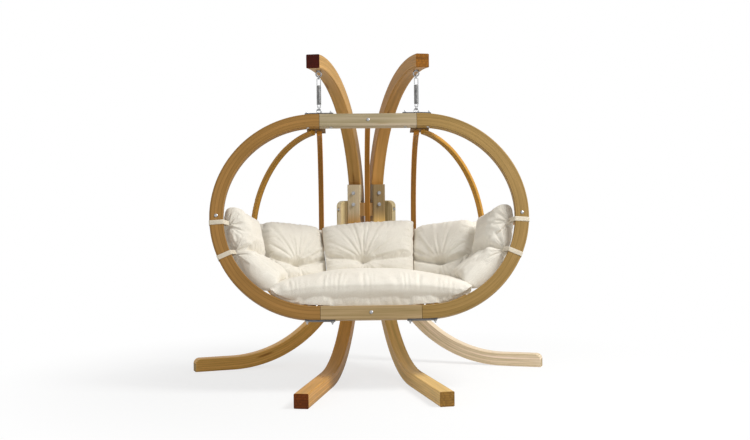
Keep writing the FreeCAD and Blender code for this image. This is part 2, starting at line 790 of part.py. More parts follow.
def hoop_profile(name, radius, start, rear, half_height):
    """The side view of a hoop: two leads, two quarter bends and the upright between them."""
    thick, width = size("hoop_thickness"), size("hoop_width")
    pieces = []
    reach = rear - radius
    for end, way, turn in (("top", 1, 0), ("bottom", -1, -90)):
        centre = Vector(reach, way * (half_height - radius), -width / 2)
        outer = primitive("Cylinder", f"{name}_{end}_outside", Placement(centre, Rotation(Z, turn)),
                          Height="hoop_width", Angle="90")
        outer.Radius = radius + thick / 2
        inner = primitive("Cylinder", f"{name}_{end}_inside", Placement(centre, Rotation()),
                          Height="hoop_width")
        inner.Radius = radius - thick / 2
        pieces.append(cut(f"{name}_{end}_bend", outer, inner))
        lead = primitive("Box", f"{name}_{end}_lead",
                         at(start, way * half_height - thick / 2, -width / 2),
                         Width="hoop_thickness", Height="hoop_width")
        lead.Length = reach - start
        pieces.append(lead)
    upright = half_height - radius
    if upright > 0:
        post = primitive("Box", name + "_upright", at(rear - thick / 2, -upright, -width / 2),
                         Length="hoop_thickness", Height="hoop_width")
        post.Width = 2 * upright
        pieces.append(post)
    return rounded(name + "_wood", fuse(name + "_raw", *pieces), size("hoop_round"),
                   long_edges(Z, width / 2, thick))


hoop_half_height = ring_inner - size("plate_thickness") - size("hoop_thickness") / 2
hoop_mould = hoop_half_height
waist_centre = ring_half_depth + size("waist_lead")
waist_inner = ring_middle - size("hoop_thickness") / 2
waist_rear_inner = waist_centre + waist_inner


def waist_reach(azimuth):
    """Distance from a seam's upright axis to the inside of the waist hoop along an azimuth."""
    turn = math.radians(azimuth)
    way = Vector(math.cos(turn), math.sin(turn), 0)
    offset = Vector(-size("ring_tail"), -waist_centre, 0)
    if azimuth == 90:
        return waist_rear_inner
    lean = offset.dot(way)
    return -lean + math.sqrt(lean ** 2 - offset.dot(offset) + waist_inner ** 2)


def hoop_plane(x, side, azimuth):
    """The upright plane of a hoop: its own X goes out along the azimuth, its own Y goes up."""
    turn = math.radians(azimuth)
    return frame(Vector(x, 0, 0), Vector(side * math.cos(turn), math.sin(turn), 0), Z)


def make_hoops():
    """Two hoops from each seam, one from the middle of the bars and the waist hoop round all."""
    screws, crossings = [], []
    half_thick = size("hoop_thickness") / 2
    for word, side in SIDES.items():
        for kind, azimuth in (("diagonal", size("hoop_azimuth")), ("back", 90)):
            name = f"{word}_{kind}_hoop"
            rear = waist_reach(azimuth) - size("crossing_play") - half_thick
            wood = hoop_profile(name, hoop_mould, size("hoop_start"), rear, hoop_half_height)
            wood.Placement = hoop_plane(side * seam, side, azimuth)
            plane = hoop_plane(side * seam, side, azimuth)
            holes = []
            for end, way in (("top", 1), ("bottom", -1)):
                seat, direction = hoop_screw_line(side, azimuth, way)
                line = along(seat, direction * -1)
                grip = size("hoop_thickness") - size("dome_height") + size("plate_thickness")
                screws.append(dome_bolt(f"{name}_{end}_screw", line, "hoop_screw_radius", grip,
                                        "hoop_screw_radius"))
                holes += screw_drills(f"{name}_{end}", line)
            crossings.append((name, plane, rear))
            holes += screw_drills(name + "_crossing", crossing_line(plane, rear))
            part(name, cut(name + "_drilled", wood, fuse(name + "_holes", *holes)), CHAIR)
    rear = waist_rear_inner - size("crossing_play") - half_thick
    wood = hoop_profile("middle_hoop", hoop_mould, ring_half_depth, rear, ring_middle)
    plane = hoop_plane(0, 1, 90)
    wood.Placement = plane
    crossings.append(("middle_hoop", plane, rear))
    holes = screw_drills("middle_hoop_crossing", crossing_line(plane, rear))
    for end, way in (("top", 1), ("bottom", -1)):
        holes.append(frame_bolt_drill(f"middle_hoop_{end}_hole", 0, way * ring_middle))
        holes.append(barrel_drill(f"middle_hoop_{end}_barrel", Vector(0, 0, way * ring_middle), X))
    part("middle_hoop", cut("middle_hoop_drilled", wood, fuse("middle_hoop_holes", *holes)), CHAIR)
    make_waist_hoop(crossings)
    bolts = [dome_bolt(f"{name}_crossing_screw", crossing_line(plane, rear), "hoop_screw_radius",
                       size("crossing_screw"), "hoop_screw_radius")
             for name, plane, rear in crossings]
    grip = size("plate_thickness") + size("bracket_screw_grip")
    for word, side in SIDES.items():
        for level, way in (("top", 1), ("bottom", -1)):
            for end in ("bar", "ring"):
                bolts.append(dome_bolt(f"{word}_{level}_{end}_bracket_screw",
                                       bracket_screw_line(side, way, end), "hoop_screw_radius", grip,
                                       "hoop_screw_radius"))
    part("hoop_screws", group("hoop_screw_group", *screws, *bolts), CHAIR)


def crossing_line(plane, rear):
    """The sunk seat of the screw where a hoop crosses the waist hoop; its head looks inwards."""
    seat = Vector(rear - size("hoop_thickness") / 2 + size("dome_height"), 0, 0)
    return along(plane.multVec(seat), plane.Rotation.multVec(X * -1))


def screw_drills(name, line):
    """A hole for a screw and the sink for its head."""
    shank = drill(name + "_hole", line, "hoop_screw_radius + thread_clearance",
                  4 * size("hoop_thickness"))
    sink = primitive("Cylinder", name + "_sink", line, Height="2 * dome_height",
                     Radius="2 * hoop_screw_radius + thread_clearance")
    return [shank, sink]


def barrel_drill(name, bar_point, way):
    """A drill for the barrel nut in a hoop's end, behind the ring."""
    point = bar_point + Y * (ring_half_depth + size("frame_bolt_grip") / 2)
    return drill(name, along(point, way), "barrel_nut_radius + thread_clearance", 2 * size("ring_depth"))


def make_waist_hoop(crossings):
    """The hoop round the waist: from the ring's ends, round the back, in the XY plane."""
    name = "waist_hoop"
    width = size("hoop_width")
    pieces = []
    for word, side in SIDES.items():
        turn = 0 if side > 0 else 90
        centre = Vector(side * ring_centre, waist_centre, -width / 2)
        outer = primitive("Cylinder", f"{name}_{word}_outside", Placement(centre, Rotation(Z, turn)),
                          Height="hoop_width", Angle="90",
                          Radius="ring_radius - ring_width / 2 + hoop_thickness / 2")
        inner = primitive("Cylinder", f"{name}_{word}_inside", Placement(centre, Rotation()),
                          Height="hoop_width",
                          Radius="ring_radius - ring_width / 2 - hoop_thickness / 2")
        pieces.append(cut(f"{name}_{word}_bend", outer, inner))
        x = side * (ring_centre + ring_middle) - size("hoop_thickness") / 2
        lead = primitive("Box", f"{name}_{word}_lead", at(x, ring_half_depth, -width / 2),
                         Length="hoop_thickness", Width="waist_lead", Height="hoop_width")
        pieces.append(lead)
    back = primitive("Box", name + "_back", at(-ring_centre, waist_rear_inner, -width / 2),
                     Length="bar_length + 2 * ring_tail", Width="hoop_thickness", Height="hoop_width")
    wood = rounded(name + "_wood", fuse(name + "_raw", *pieces, back), size("hoop_round"),
                   long_edges(Z, width / 2, size("hoop_thickness")))
    holes = [drill(f"{name}_{hoop}_hole", crossing_line(plane, rear),
                   "hoop_screw_radius + thread_clearance", 4 * size("hoop_thickness"))
             for hoop, plane, rear in crossings]
    for word, side in SIDES.items():
        end = Vector(side * (ring_centre + ring_middle), 0, 0)
        holes.append(frame_bolt_drill(f"{name}_{word}_hole", end.x, 0))
        holes.append(barrel_drill(f"{name}_{word}_barrel", end, Z))
    part(name, cut(name + "_drilled", wood, fuse(name + "_holes", *holes)), CHAIR)


def make_chair_fasteners():
    """Seam bolts and nuts, and the bolts with barrel nuts that hold the hoops to the ring."""
    bolts, nuts, barrels, frame_bolts = [], [], [], []
    for word, side in SIDES.items():
        for level, way in (("top", 1), ("bottom", -1)):
            for end in ("bar", "ring"):
                name = f"{word}_{level}_{end}"
                start, direction = seam_bolt_line(side, way, end)
                inside = ring_inner
                if end == "ring":
                    head_radius = size("plate_bolt_radius") + size("dome_margin")
                    inside = math.sqrt(inside ** 2 - head_radius ** 2)
                grip = plate_top - inside + size("nut_height") + size("plate_bolt_tail")
                head = along(start + direction * inside, direction * -1)
                bolts.append(dome_bolt(name + "_bolt", head, "plate_bolt_radius", grip))
                seat = along(start + direction * plate_top, direction)
                nuts.append(nut(name + "_nut", seat, "plate_bolt_radius"))
    ends = [("top", Vector(0, 0, ring_middle), X), ("bottom", Vector(0, 0, -ring_middle), X)]
    for word, side in SIDES.items():
        ends.append((word, Vector(side * (ring_centre + ring_middle), 0, 0), Z))
    for word, point, way in ends:
        front = along(point - Y * ring_half_depth, Y * -1)
        reach = size("ring_depth") + size("frame_bolt_grip") / 2 - size("barrel_nut_radius")
        frame_bolts.append(dome_bolt(f"{word}_frame_bolt", front, "frame_bolt_radius", reach))
        heart = point + Y * (ring_half_depth + size("frame_bolt_grip") / 2)
        barrel = primitive("Cylinder", f"{word}_barrel_nut",
                           along(heart - way * (size("hoop_width") / 2), way),
                           Radius="barrel_nut_radius", Height="hoop_width")
        barrels.append(barrel)
    part("seam_bolts", group("seam_bolt_group", *bolts), CHAIR)
    part("seam_nuts", group("seam_nut_group", *nuts), CHAIR)
    part("frame_bolts", group("frame_bolt_group", *frame_bolts), CHAIR)
    part("barrel_nuts", group("barrel_nut_group", *barrels), CHAIR)


# Soft pieces: plain closed solids that hold the place of the cushions and straps.
hoop_heart = waist_rear_inner - size("crossing_play") - size("hoop_thickness") - hoop_mould
hoop_heart += size("hoop_thickness") / 2
behind_ring = (ring_half_depth + size("strap_play") + size("strap_thickness")
               + size("cushion_play"))


def bowl(name):
    """The room inside the hoops: a long round body that just clears them."""
    tube = primitive("Cylinder", name + "_tube", along(Vector(-seam, hoop_heart, 0), X),
                     Radius="ring_radius - ring_width - plate_thickness - hoop_thickness - cushion_play",
                     Height="bar_length")
    ends = [primitive("Sphere", f"{name}_{word}", at(side * seam, hoop_heart, 0),
                      Radius="ring_radius - ring_width - plate_thickness - hoop_thickness - cushion_play")
            for word, side in SIDES.items()]
    return fuse(name, tube, *ends)


def end_bowl(name, side):
    """The room at one end of the chair: inside the waist hoop and behind the ring."""
    ball = primitive("Sphere", name + "_ball", at(side * ring_centre, waist_centre, 0),
                     Radius="ring_radius - ring_width / 2 - hoop_thickness / 2 - cushion_play")
    behind = primitive("Box", name + "_behind",
                       at(-2 * size("ring_radius"), behind_ring, -size("ring_radius")),
                       Length="4 * ring_radius", Width="2 * ring_radius", Height="2 * ring_radius")
    return common(name, ball, behind)


def soft_block(label, place, width, height, depth):
    """A block from its inner face (the XY plane of the place, from its low edge) into the bowl."""
    raw = primitive("Box", label + "_block", at(-size(width) / 2, 0, -depth), Length=width, Width=height)
    raw.Height = depth
    shaped = rounded(label + "_round", raw, size("cushion_round"),
                     lambda edge: abs(edge.CenterOfMass.z) < 0.01)
    shaped.Placement = place
    return shaped


def seat_place():
    """The top of the seat cushion, from the middle of its front edge."""
    pitch = math.radians(size("seat_pitch_angle"))
    return frame(Vector(0, size("seat_front"), -ring_inner + size("seat_height")), X,
                 Vector(0, math.cos(pitch), math.sin(pitch)))


def make_seat_cushion():
    """The long seat cushion: a level top, and below it the shape of the hoops."""
    block = soft_block("seat_cushion", seat_place(), "seat_length", "seat_depth",
                       size("ring_width") + size("seat_height"))
    part("seat_cushion", common("seat_cushion_pad", block, bowl("seat_bowl")), CHAIR)


def seated(name, pad):
    """A back cushion without what would be lower than the top of the seat cushion."""
    low = primitive("Box", name + "_below", Placement(), Length="2 * seat_length", Width="2 * seat_depth",
                    Height="seat_height + ring_width")
    drop = size("cushion_play") - size("seat_height") - size("ring_width")
    low.Placement = seat_place().multiply(at(-size("seat_length"), -size("seat_depth") / 2, drop))
    return cut(name + "_seated", pad, low)


def wall_place(azimuth, side, base, reach):
    """The inner face of a cushion that leans on the inside of the hoops at an azimuth."""
    turn = math.radians(azimuth)
    radial = Vector(side * math.cos(turn), math.sin(turn), 0)
    lean = math.radians(size("back_lean_angle"))
    rise = radial * math.sin(lean) + Z * math.cos(lean)
    foot = Vector(side * ring_centre, waist_centre, -base) + radial * reach
    tangent = radial.cross(rise)
    tangent.normalize()
    return frame(foot, tangent, rise)


def corner_place(side):
    """The inner face of a corner's back cushion."""
    return wall_place(size("corner_azimuth"), side, size("corner_base"), size("corner_reach"))


def corner_room(name, side):
    """The room that a corner's back cushion takes, with the play round it."""
    room = primitive("Box", name, Placement(), Length="corner_width + 2 * cushion_play",
                     Width="back_height + 2 * cushion_play", Height="ring_radius + cushion_play")
    play = size("cushion_play")
    room.Placement = corner_place(side).multiply(at(-size("corner_width") / 2 - play, -play, -size("ring_radius")))
    return room


def make_side_cushion(word, side):
    """A side cushion: a thick pad bent along the inside of the ring, its back end turned inwards."""
    name = word + "_side_cushion"
    low, high = -size("side_cushion_low_angle"), size("side_cushion_high_angle")
    turn = math.radians(high if side > 0 else low)
    start = Vector(side * math.cos(turn), 0, math.sin(turn))
    heart = Vector(side * ring_centre, behind_ring, 0)
    place = frame(heart, start, Y.cross(start))
    outer = primitive("Cylinder", name + "_outside", place, Radius="ring_radius",
                      Height="side_cushion_width",
                      Angle="side_cushion_high_angle + side_cushion_low_angle")
    inner = primitive("Cone", name + "_inside", place, Radius1="side_cushion_inner",
                      Radius2="side_cushion_rear", Height="side_cushion_width")
    narrowing = (size("side_cushion_inner") - size("side_cushion_rear")) / size("side_cushion_width")

    def on_inner_face(edge):
        """The four edges round the face that the sitter leans on."""
        first, last = edge.ParameterRange
        points = [edge.valueAt(first + (last - first) * share) - heart for share in (0.1, 0.5, 0.9)]
        return all(abs(math.hypot(point.x, point.z) + narrowing * point.y - size("side_cushion_inner")) < 0.01
                   for point in points)

    pad = rounded(name + "_round", cut(name + "_bent", outer, inner), size("cushion_round"), on_inner_face)
    inside = common(name + "_pad", pad, end_bowl(name + "_bowl", side))
    part(name, cut(name + "_fitted", inside, corner_room(name + "_beside", side)), CHAIR)


def make_cushions():
    """The seat, three back cushions and two side cushions."""
    make_seat_cushion()
    middle = wall_place(90, 1, size("back_base"), size("back_reach"))
    middle.Base = Vector(0, middle.Base.y, middle.Base.z)
    name = "middle_back_cushion"
    block = soft_block(name, middle, "back_middle_width", "back_height", size("ring_radius"))
    part(name, seated(name, common(name + "_pad", block, bowl(name + "_bowl"))), CHAIR)
    for word, side in SIDES.items():
        name = word + "_back_cushion"
        block = soft_block(name, corner_place(side), "corner_width", "back_height", size("ring_radius"))
        part(name, seated(name, common(name + "_pad", block, bowl(name + "_bowl"))), CHAIR)
        make_side_cushion(word, side)


def make_straps(word, side):
    """Two cloth straps that tie a side cushion to the ring: flat bands round its section."""
    bands = []
    for level in ("high", "low"):
        name = f"{word}_{level}_strap"
        angle = -size(f"strap_{level}_angle")
        turn = math.radians(angle)
        radial = Vector(side * math.cos(turn), 0, math.sin(turn))
        heart = Vector(side * ring_centre, 0, 0) + radial * ring_middle
        outer = primitive("Box", name + "_outside", Placement(),
                          Length="ring_width + 2 * (strap_play + strap_thickness)",
                          Width="ring_depth + 2 * (strap_play + strap_thickness)", Height="strap_width")
        inner = primitive("Box", name + "_inside", Placement(), Length="ring_width + 2 * strap_play",
                          Width="ring_depth + 2 * strap_play", Height="strap_width")
        for box, margin in ((outer, size("strap_play") + size("strap_thickness")),
                            (inner, size("strap_play"))):
            box.Placement = at(-size("ring_width") / 2 - margin, -ring_half_depth - margin,
                               -size("strap_width") / 2)
        band = cut(name, outer, inner)
        band.Placement = frame(heart, radial, Y)
        bands.append(band)
    part(word + "_straps", group(word + "_strap_pair", *bands), CHAIR)


for word, side in SIDES.items():
    make_front_leg(word, side)
    make_arm(word, side)
    make_side_leg(word, side)
make_spacer()
make_stand_fasteners()
for word, side in SIDES.items():
    make_hanging_gear(word, side)
    make_half_ring(word, side)
    make_seam_steel(word, side)
make_bar("top", 1)
make_bar("bottom", -1)
make_hoops()
make_chair_fasteners()
make_cushions()
for word, side in SIDES.items():
    make_straps(word, side)

doc.recompute()
for item in doc.Objects:
    if {"Invalid", "Error"} & set(item.State):
        raise RuntimeError(f"{item.Name} failed: {item.State}")
for item in parts:
    if item.Shape.isNull() or not item.Shape.isValid():
        raise RuntimeError(f"{item.Label} has no valid shape")

# The origin goes to the floor, under the middle of everything.
whole = FreeCAD.BoundBox()
for item in parts:
    whole.add(item.Shape.optimalBoundingBox(False, False))
shift = Placement(Vector(-whole.Center.x, -whole.Center.y, -whole.ZMin), Rotation())
os.makedirs("parts", exist_ok=True)
for item in parts:
    item.Placement = shift.multiply(item.Placement)
    item.Shape.exportStep(f"parts/{item.Label}.step")
eye_line = shift.multVec(Vector())
print("parts", len(parts), "box", whole.XLength, whole.YLength, whole.ZLength)
print("eye line y", eye_line.y, "floor shift", eye_line.z, "hang offset", hang_offset)
print("heights: swing", swing_height, "sway", sway_height, "coil", coil_top, coil_bottom,
      "level", level_height, "pivot", pivot_height)
print("chair origin", shift.multVec(CHAIR.Base), "tilt", size("chair_tilt"))
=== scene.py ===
# %% [markdown]
# # A double hanging chair in its bent-wood stand
# This lesson dresses a finished CAD model. The wood, the bolts and the links come from that model as they
# are and only get a finish. The cushions, the cloth straps and the springs are plain solids there, so they
# are made here again as what they really are.

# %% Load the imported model
import math

import bpy
import numpy as np
from mathutils import Matrix, Vector


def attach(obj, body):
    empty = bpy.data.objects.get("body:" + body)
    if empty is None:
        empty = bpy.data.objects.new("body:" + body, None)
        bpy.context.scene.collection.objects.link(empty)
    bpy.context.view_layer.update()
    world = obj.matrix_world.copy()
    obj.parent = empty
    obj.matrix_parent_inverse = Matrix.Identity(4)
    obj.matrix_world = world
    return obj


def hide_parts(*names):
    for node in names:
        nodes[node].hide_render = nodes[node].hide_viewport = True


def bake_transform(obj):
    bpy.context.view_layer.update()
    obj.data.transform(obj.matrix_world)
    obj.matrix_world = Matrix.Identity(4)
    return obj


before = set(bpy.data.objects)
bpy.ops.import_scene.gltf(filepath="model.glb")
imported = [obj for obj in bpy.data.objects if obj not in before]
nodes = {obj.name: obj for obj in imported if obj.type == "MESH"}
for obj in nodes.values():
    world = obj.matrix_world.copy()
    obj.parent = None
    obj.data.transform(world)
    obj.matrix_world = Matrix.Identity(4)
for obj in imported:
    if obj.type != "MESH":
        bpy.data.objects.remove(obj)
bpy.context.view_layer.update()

# %% [markdown]
# ## The view
# The picture was taken a little above the seat and just left of the middle, with a normal lens. A camera's
# matrix is made of its own right, up and backward directions, so a pan, a tilt and a small roll can be
# written down directly instead of being found by hand in the viewport.

# %% Camera
RING_HEART = Vector((0, -0.18154, 0.93943))
EYE = RING_HEART + Vector((-0.150, -6.5, 0.220))
PAN, TILT_DOWN, ROLL = (math.radians(angle) for angle in (1.58, 2.19, 0.57))
LENS, SENSOR_WIDTH = 57.264, 36.0

look = Vector((math.sin(PAN) * math.cos(TILT_DOWN), math.cos(PAN) * math.cos(TILT_DOWN), -math.sin(TILT_DOWN)))
level_right = Vector((math.cos(PAN), -math.sin(PAN), 0))
level_up = level_right.cross(look)
right = level_right * math.cos(ROLL) - level_up * math.sin(ROLL)
up = level_right * math.sin(ROLL) + level_up * math.cos(ROLL)
camera_data = bpy.data.cameras.new("photo_camera")
camera_data.lens = LENS
camera_data.sensor_width = SENSOR_WIDTH
camera = bpy.data.objects.new("photo_camera", camera_data)
camera.matrix_world = Matrix.Translation(EYE) @ Matrix((right, up, -look)).transposed().to_4x4()
bpy.context.collection.objects.link(camera)
scene = bpy.context.scene
scene.camera = camera
scene.view_settings.view_transform = "Standard"
print("camera at", [round(v, 3) for v in EYE])

# %% [markdown]
# ## Light and floor
# The picture is a cut-out on white, lit softly from the upper right. One large lamp there gives the
# direction, a weaker one from the left opens the shadows, and the world adds light from all round. Rays
# that go straight to the camera see the world and most of the floor as plain white, so the ground looks
# like paper and still keeps a soft shadow under the feet.


# %% Small helpers for node trees
def add(tree, kind, **settings):
    """A node in a tree, with its settings."""
    node = tree.nodes.new("ShaderNode" + kind)
    for key, value in settings.items():
        setattr(node, key, value)
    return node


def plug(tree, value, socket):
    """Joins an output to an input, or writes a plain number or colour into it."""
    if isinstance(value, bpy.types.NodeSocket):
        tree.links.new(value, socket)
    else:
        socket.default_value = value


def calc(tree, operation, *values):
    """The result of one math node."""
    node = add(tree, "Math", operation=operation)
    for value, socket in zip(values, node.inputs):
        plug(tree, value, socket)
    return node.outputs[0]


def seen_by_eye(tree):
    """1 for rays from the camera, in a mirror or through glass, 0 for rays that carry light."""
    path = add(tree, "LightPath")
    direct = calc(tree, "MAXIMUM", path.outputs["Is Camera Ray"], path.outputs["Is Glossy Ray"])
    return calc(tree, "MAXIMUM", direct, path.outputs["Is Transmission Ray"])


def ranged(tree, value, low, high, start, end, kind="SMOOTHSTEP"):
    """A value that goes from start to end while another goes from low to high."""
    node = add(tree, "MapRange", interpolation_type=kind)
    plug(tree, value, node.inputs["Value"])
    for key, number in (("From Min", low), ("From Max", high), ("To Min", start), ("To Max", end)):
        node.inputs[key].default_value = number
    return node.outputs["Result"]


# %% White world
ROOM_STRENGTH = 0.46

world = bpy.data.worlds.new("white_room")
scene.world = world
world.use_nodes = True
tree = world.node_tree
tree.nodes.clear()
room_light = add(tree, "Background")
room_light.inputs["Strength"].default_value = ROOM_STRENGTH
white_paper = add(tree, "Background")
choice = add(tree, "MixShader")
plug(tree, seen_by_eye(tree), choice.inputs[0])
for sky, position in ((room_light, 1), (white_paper, 2)):
    sky.inputs["Color"].default_value = (1, 1, 1, 1)
    tree.links.new(sky.outputs[0], choice.inputs[position])
tree.links.new(choice.outputs[0], add(tree, "OutputWorld").inputs[0])
print("white world, strength", ROOM_STRENGTH)

# %% Soft lamps
LIT_POINT = (0, 0, 0.9)


def soft_lamp(name, place, width, watts):
    """A square soft box that faces the chair."""
    data = bpy.data.lights.new(name, "AREA")
    data.size = width
    data.energy = watts
    lamp = bpy.data.objects.new(name, data)
    lamp.location = place
    lamp.rotation_euler = (Vector(LIT_POINT) - Vector(place)).to_track_quat("-Z", "Y").to_euler()
    bpy.context.collection.objects.link(lamp)
    print(name, watts, "W")


soft_lamp("key_from_upper_right", (3.1, -1.3, 4.5), 1.8, 235)
soft_lamp("fill_from_left", (-3.4, -3.4, 1.9), 2.4, 18)

# %% Paper floor
FLOOR_HALF, PAPER = 40.0, (0.86, 0.86, 0.85, 1)
SHADOW_NEAR, SHADOW_FAR, NEAR_GLOW = 0.9, 2.4, 0.72

floor_mesh = bpy.data.meshes.new("paper_floor")
floor_mesh.from_pydata([(x * FLOOR_HALF, y * FLOOR_HALF, 0) for x, y in ((-1, -1), (1, -1), (1, 1), (-1, 1))],
                       [], [(0, 1, 2, 3)])
floor = bpy.data.objects.new("paper_floor", floor_mesh)
bpy.context.collection.objects.link(floor)
paper = bpy.data.materials.new("paper_floor")
paper.use_nodes = True
tree = paper.node_tree
tree.nodes.clear()
matt = add(tree, "BsdfDiffuse")
matt.inputs["Color"].default_value = PAPER
glow = add(tree, "Emission")
away = add(tree, "VectorMath", operation="LENGTH")
tree.links.new(add(tree, "TexCoord").outputs["Object"], away.inputs[0])
fade = ranged(tree, away.outputs["Value"], SHADOW_NEAR, SHADOW_FAR, NEAR_GLOW, 1.0)
mixed = add(tree, "MixShader")
plug(tree, calc(tree, "MULTIPLY", seen_by_eye(tree), fade), mixed.inputs[0])
tree.links.new(matt.outputs[0], mixed.inputs[1])
tree.links.new(glow.outputs[0], mixed.inputs[2])
tree.links.new(mixed.outputs[0], add(tree, "OutputMaterial").inputs[0])
floor.data.materials.append(paper)
print("floor", 2 * FLOOR_HALF, "m wide")

# %% [markdown]
# ## Laminated wood
# Each beam is a stack of thin boards, glued and bent together over a mould. So its grain follows the bend.
# A flat wood pattern would cut straight across it. Here every point is first turned into three lengths:
# how far it is along the bent line, how far across the stack, and how far from the middle plane. For a
# quarter bend with straight ends that is a little trigonometry, done by math nodes in the material.


# %% Sums and stains
def summed(tree, total, *parts):
    """A start value plus other values, each times its weight."""
    for value, weight in parts:
        total = calc(tree, "MULTIPLY_ADD", value, weight, total)
    return total


def darkened(tree, value, share, loss):
    """A value that loses a part of itself where a share is 1."""
    return calc(tree, "MULTIPLY", value, calc(tree, "MULTIPLY_ADD", share, -loss, 1.0))


def stained(tree, tone, shade):
    """A tone times a shade, colour by colour."""
    mix = add(tree, "Mix", data_type="RGBA", blend_type="MULTIPLY")
    mix.inputs["Factor"].default_value = 1.0
    plug(tree, tone, mix.inputs["A"])
    plug(tree, shade, mix.inputs["B"])
    return mix.outputs["Result"]


def joined(tree, kind, *values):
    """A colour or a point from its three values, those left out being 0."""
    node = add(tree, "Combine" + kind)
    for value, socket in zip(values, node.inputs):
        plug(tree, value, socket)
    return node.outputs[0]


# %% Knots and glue lines
KNOT_CHANCE, KNOT_CORE, KNOT_RIM = 0.45, 0.05, 0.17
GLUE_CORE, GLUE_RIM = 0.0002, 0.0009


def knot_share(tree, spot):
    """1 in a knot and 0 in clear wood. Only some cells of the pattern hold a knot."""
    knots = add(tree, "TexVoronoi", feature="F1")
    knots.inputs["Scale"].default_value = 1.0
    plug(tree, spot, knots.inputs["Vector"])
    cell = add(tree, "SeparateColor")
    plug(tree, knots.outputs["Color"], cell.inputs[0])
    has_one = calc(tree, "GREATER_THAN", cell.outputs[0], 1.0 - KNOT_CHANCE)
    return calc(tree, "MULTIPLY", ranged(tree, knots.outputs["Distance"], KNOT_CORE, KNOT_RIM, 1.0, 0.0), has_one)


def glue_share(tree, layer, board):
    """1 on the thin line where two boards meet."""
    edge = calc(tree, "MULTIPLY", calc(tree, "PINGPONG", layer, 0.5), board)
    return ranged(tree, edge, GLUE_CORE, GLUE_RIM, 1.0, 0.0, "LINEAR")


# %% Sockets of the wood group
def wood_sockets():
    """A node group with the inputs and outputs of a wood, and nothing between them."""
    group = bpy.data.node_groups.new("laminated_wood", "ShaderNodeTree")
    floats = ("Along", "Across", "Depth", "Board", "Seed", "End")
    inputs = [(name, "Float") for name in floats] + [("Tone", "Color"), ("End tone", "Color")]
    outputs = [("Color", "Color"), ("Roughness", "Float"), ("Height", "Float")]
    for way, sockets in (("INPUT", inputs), ("OUTPUT", outputs)):
        for name, kind in sockets:
            group.interface.new_socket(name=name, in_out=way, socket_type="NodeSocket" + kind)
    return group


# %% The wood group
BOARD_COUNT_START, BOARD_SHIFT = 40.5, 37.0
RING_RATE, RING_WANDER = 260.0, 34.0  # radians, for each metre of depth and for the swell


def wood_pattern():
    """Boards, fibres, year rings, knots and end grain as one node group."""
    group = wood_sockets()
    source = group.nodes.new("NodeGroupInput").outputs
    along, across, depth = source["Along"], source["Across"], source["Depth"]
    layer = calc(group, "ADD", calc(group, "DIVIDE", across, source["Board"]), BOARD_COUNT_START)
    chance = add(group, "TexWhiteNoise", noise_dimensions="2D")
    plug(group, joined(group, "XYZ", calc(group, "FLOOR", layer), source["Seed"]), chance.inputs["Vector"])
    luck = chance.outputs["Value"]
    start = calc(group, "MULTIPLY_ADD", luck, BOARD_SHIFT, source["Seed"])

    def stretched(along_scale, cross_scale):
        """A place in a pattern that is drawn out along the fibres."""
        return joined(group, "XYZ", calc(group, "MULTIPLY_ADD", along, along_scale, start),
                      calc(group, "MULTIPLY", across, cross_scale),
                      calc(group, "MULTIPLY_ADD", depth, cross_scale, luck))

    def noise(along_scale, cross_scale, detail, roughness=0.55):
        """Noise drawn out along the fibres."""
        cloud = add(group, "TexNoise")
        for key, value in (("Scale", 1.0), ("Detail", detail), ("Roughness", roughness)):
            cloud.inputs[key].default_value = value
        plug(group, stretched(along_scale, cross_scale), cloud.inputs["Vector"])
        return cloud.outputs["Fac"]

    fibre, streak = noise(7.0, 420.0, 4.0, 0.65), noise(1.6, 46.0, 3.0)
    swell, pores = noise(1.2, 15.0, 1.5), noise(0.0, 520.0, 2.0)
    wander = calc(group, "MULTIPLY", swell, RING_WANDER)
    rings = calc(group, "SINE", calc(group, "MULTIPLY_ADD", depth, RING_RATE, wander))
    knot = knot_share(group, stretched(2.3, 17.0))
    glue = glue_share(group, layer, source["Board"])
    unlike = calc(group, "SUBTRACT", luck, 0.5)

    light = summed(group, 0.23, (fibre, 0.60), (streak, 0.94), (rings, 0.045), (unlike, 0.20))
    light = darkened(group, darkened(group, light, glue, 0.50), knot, 0.62)
    red = calc(group, "MULTIPLY", light, calc(group, "MULTIPLY_ADD", knot, 0.22, 1.0))
    blue = calc(group, "MULTIPLY", light, calc(group, "POWER", light, 0.55))
    sides = stained(group, source["Tone"], joined(group, "Color", red, light, blue))
    ends = summed(group, 0.55, (pores, 0.9), (rings, 0.16), (unlike, 0.35))
    ends = darkened(group, ends, glue, 0.5)
    ends = stained(group, source["End tone"], joined(group, "Color", ends, ends, ends))
    both = add(group, "Mix", data_type="RGBA")
    for key, value in (("Factor", source["End"]), ("A", sides), ("B", ends)):
        plug(group, value, both.inputs[key])
    target = group.nodes.new("NodeGroupOutput")
    plug(group, both.outputs["Result"], target.inputs["Color"])
    plug(group, summed(group, 0.40, (source["End"], 0.35), (fibre, 0.22)), target.inputs["Roughness"])
    plug(group, summed(group, fibre, (streak, 0.5), (glue, -0.8)), target.inputs["Height"])
    return group


LAMINATED = wood_pattern()
print("wood group", len(LAMINATED.nodes), "nodes")


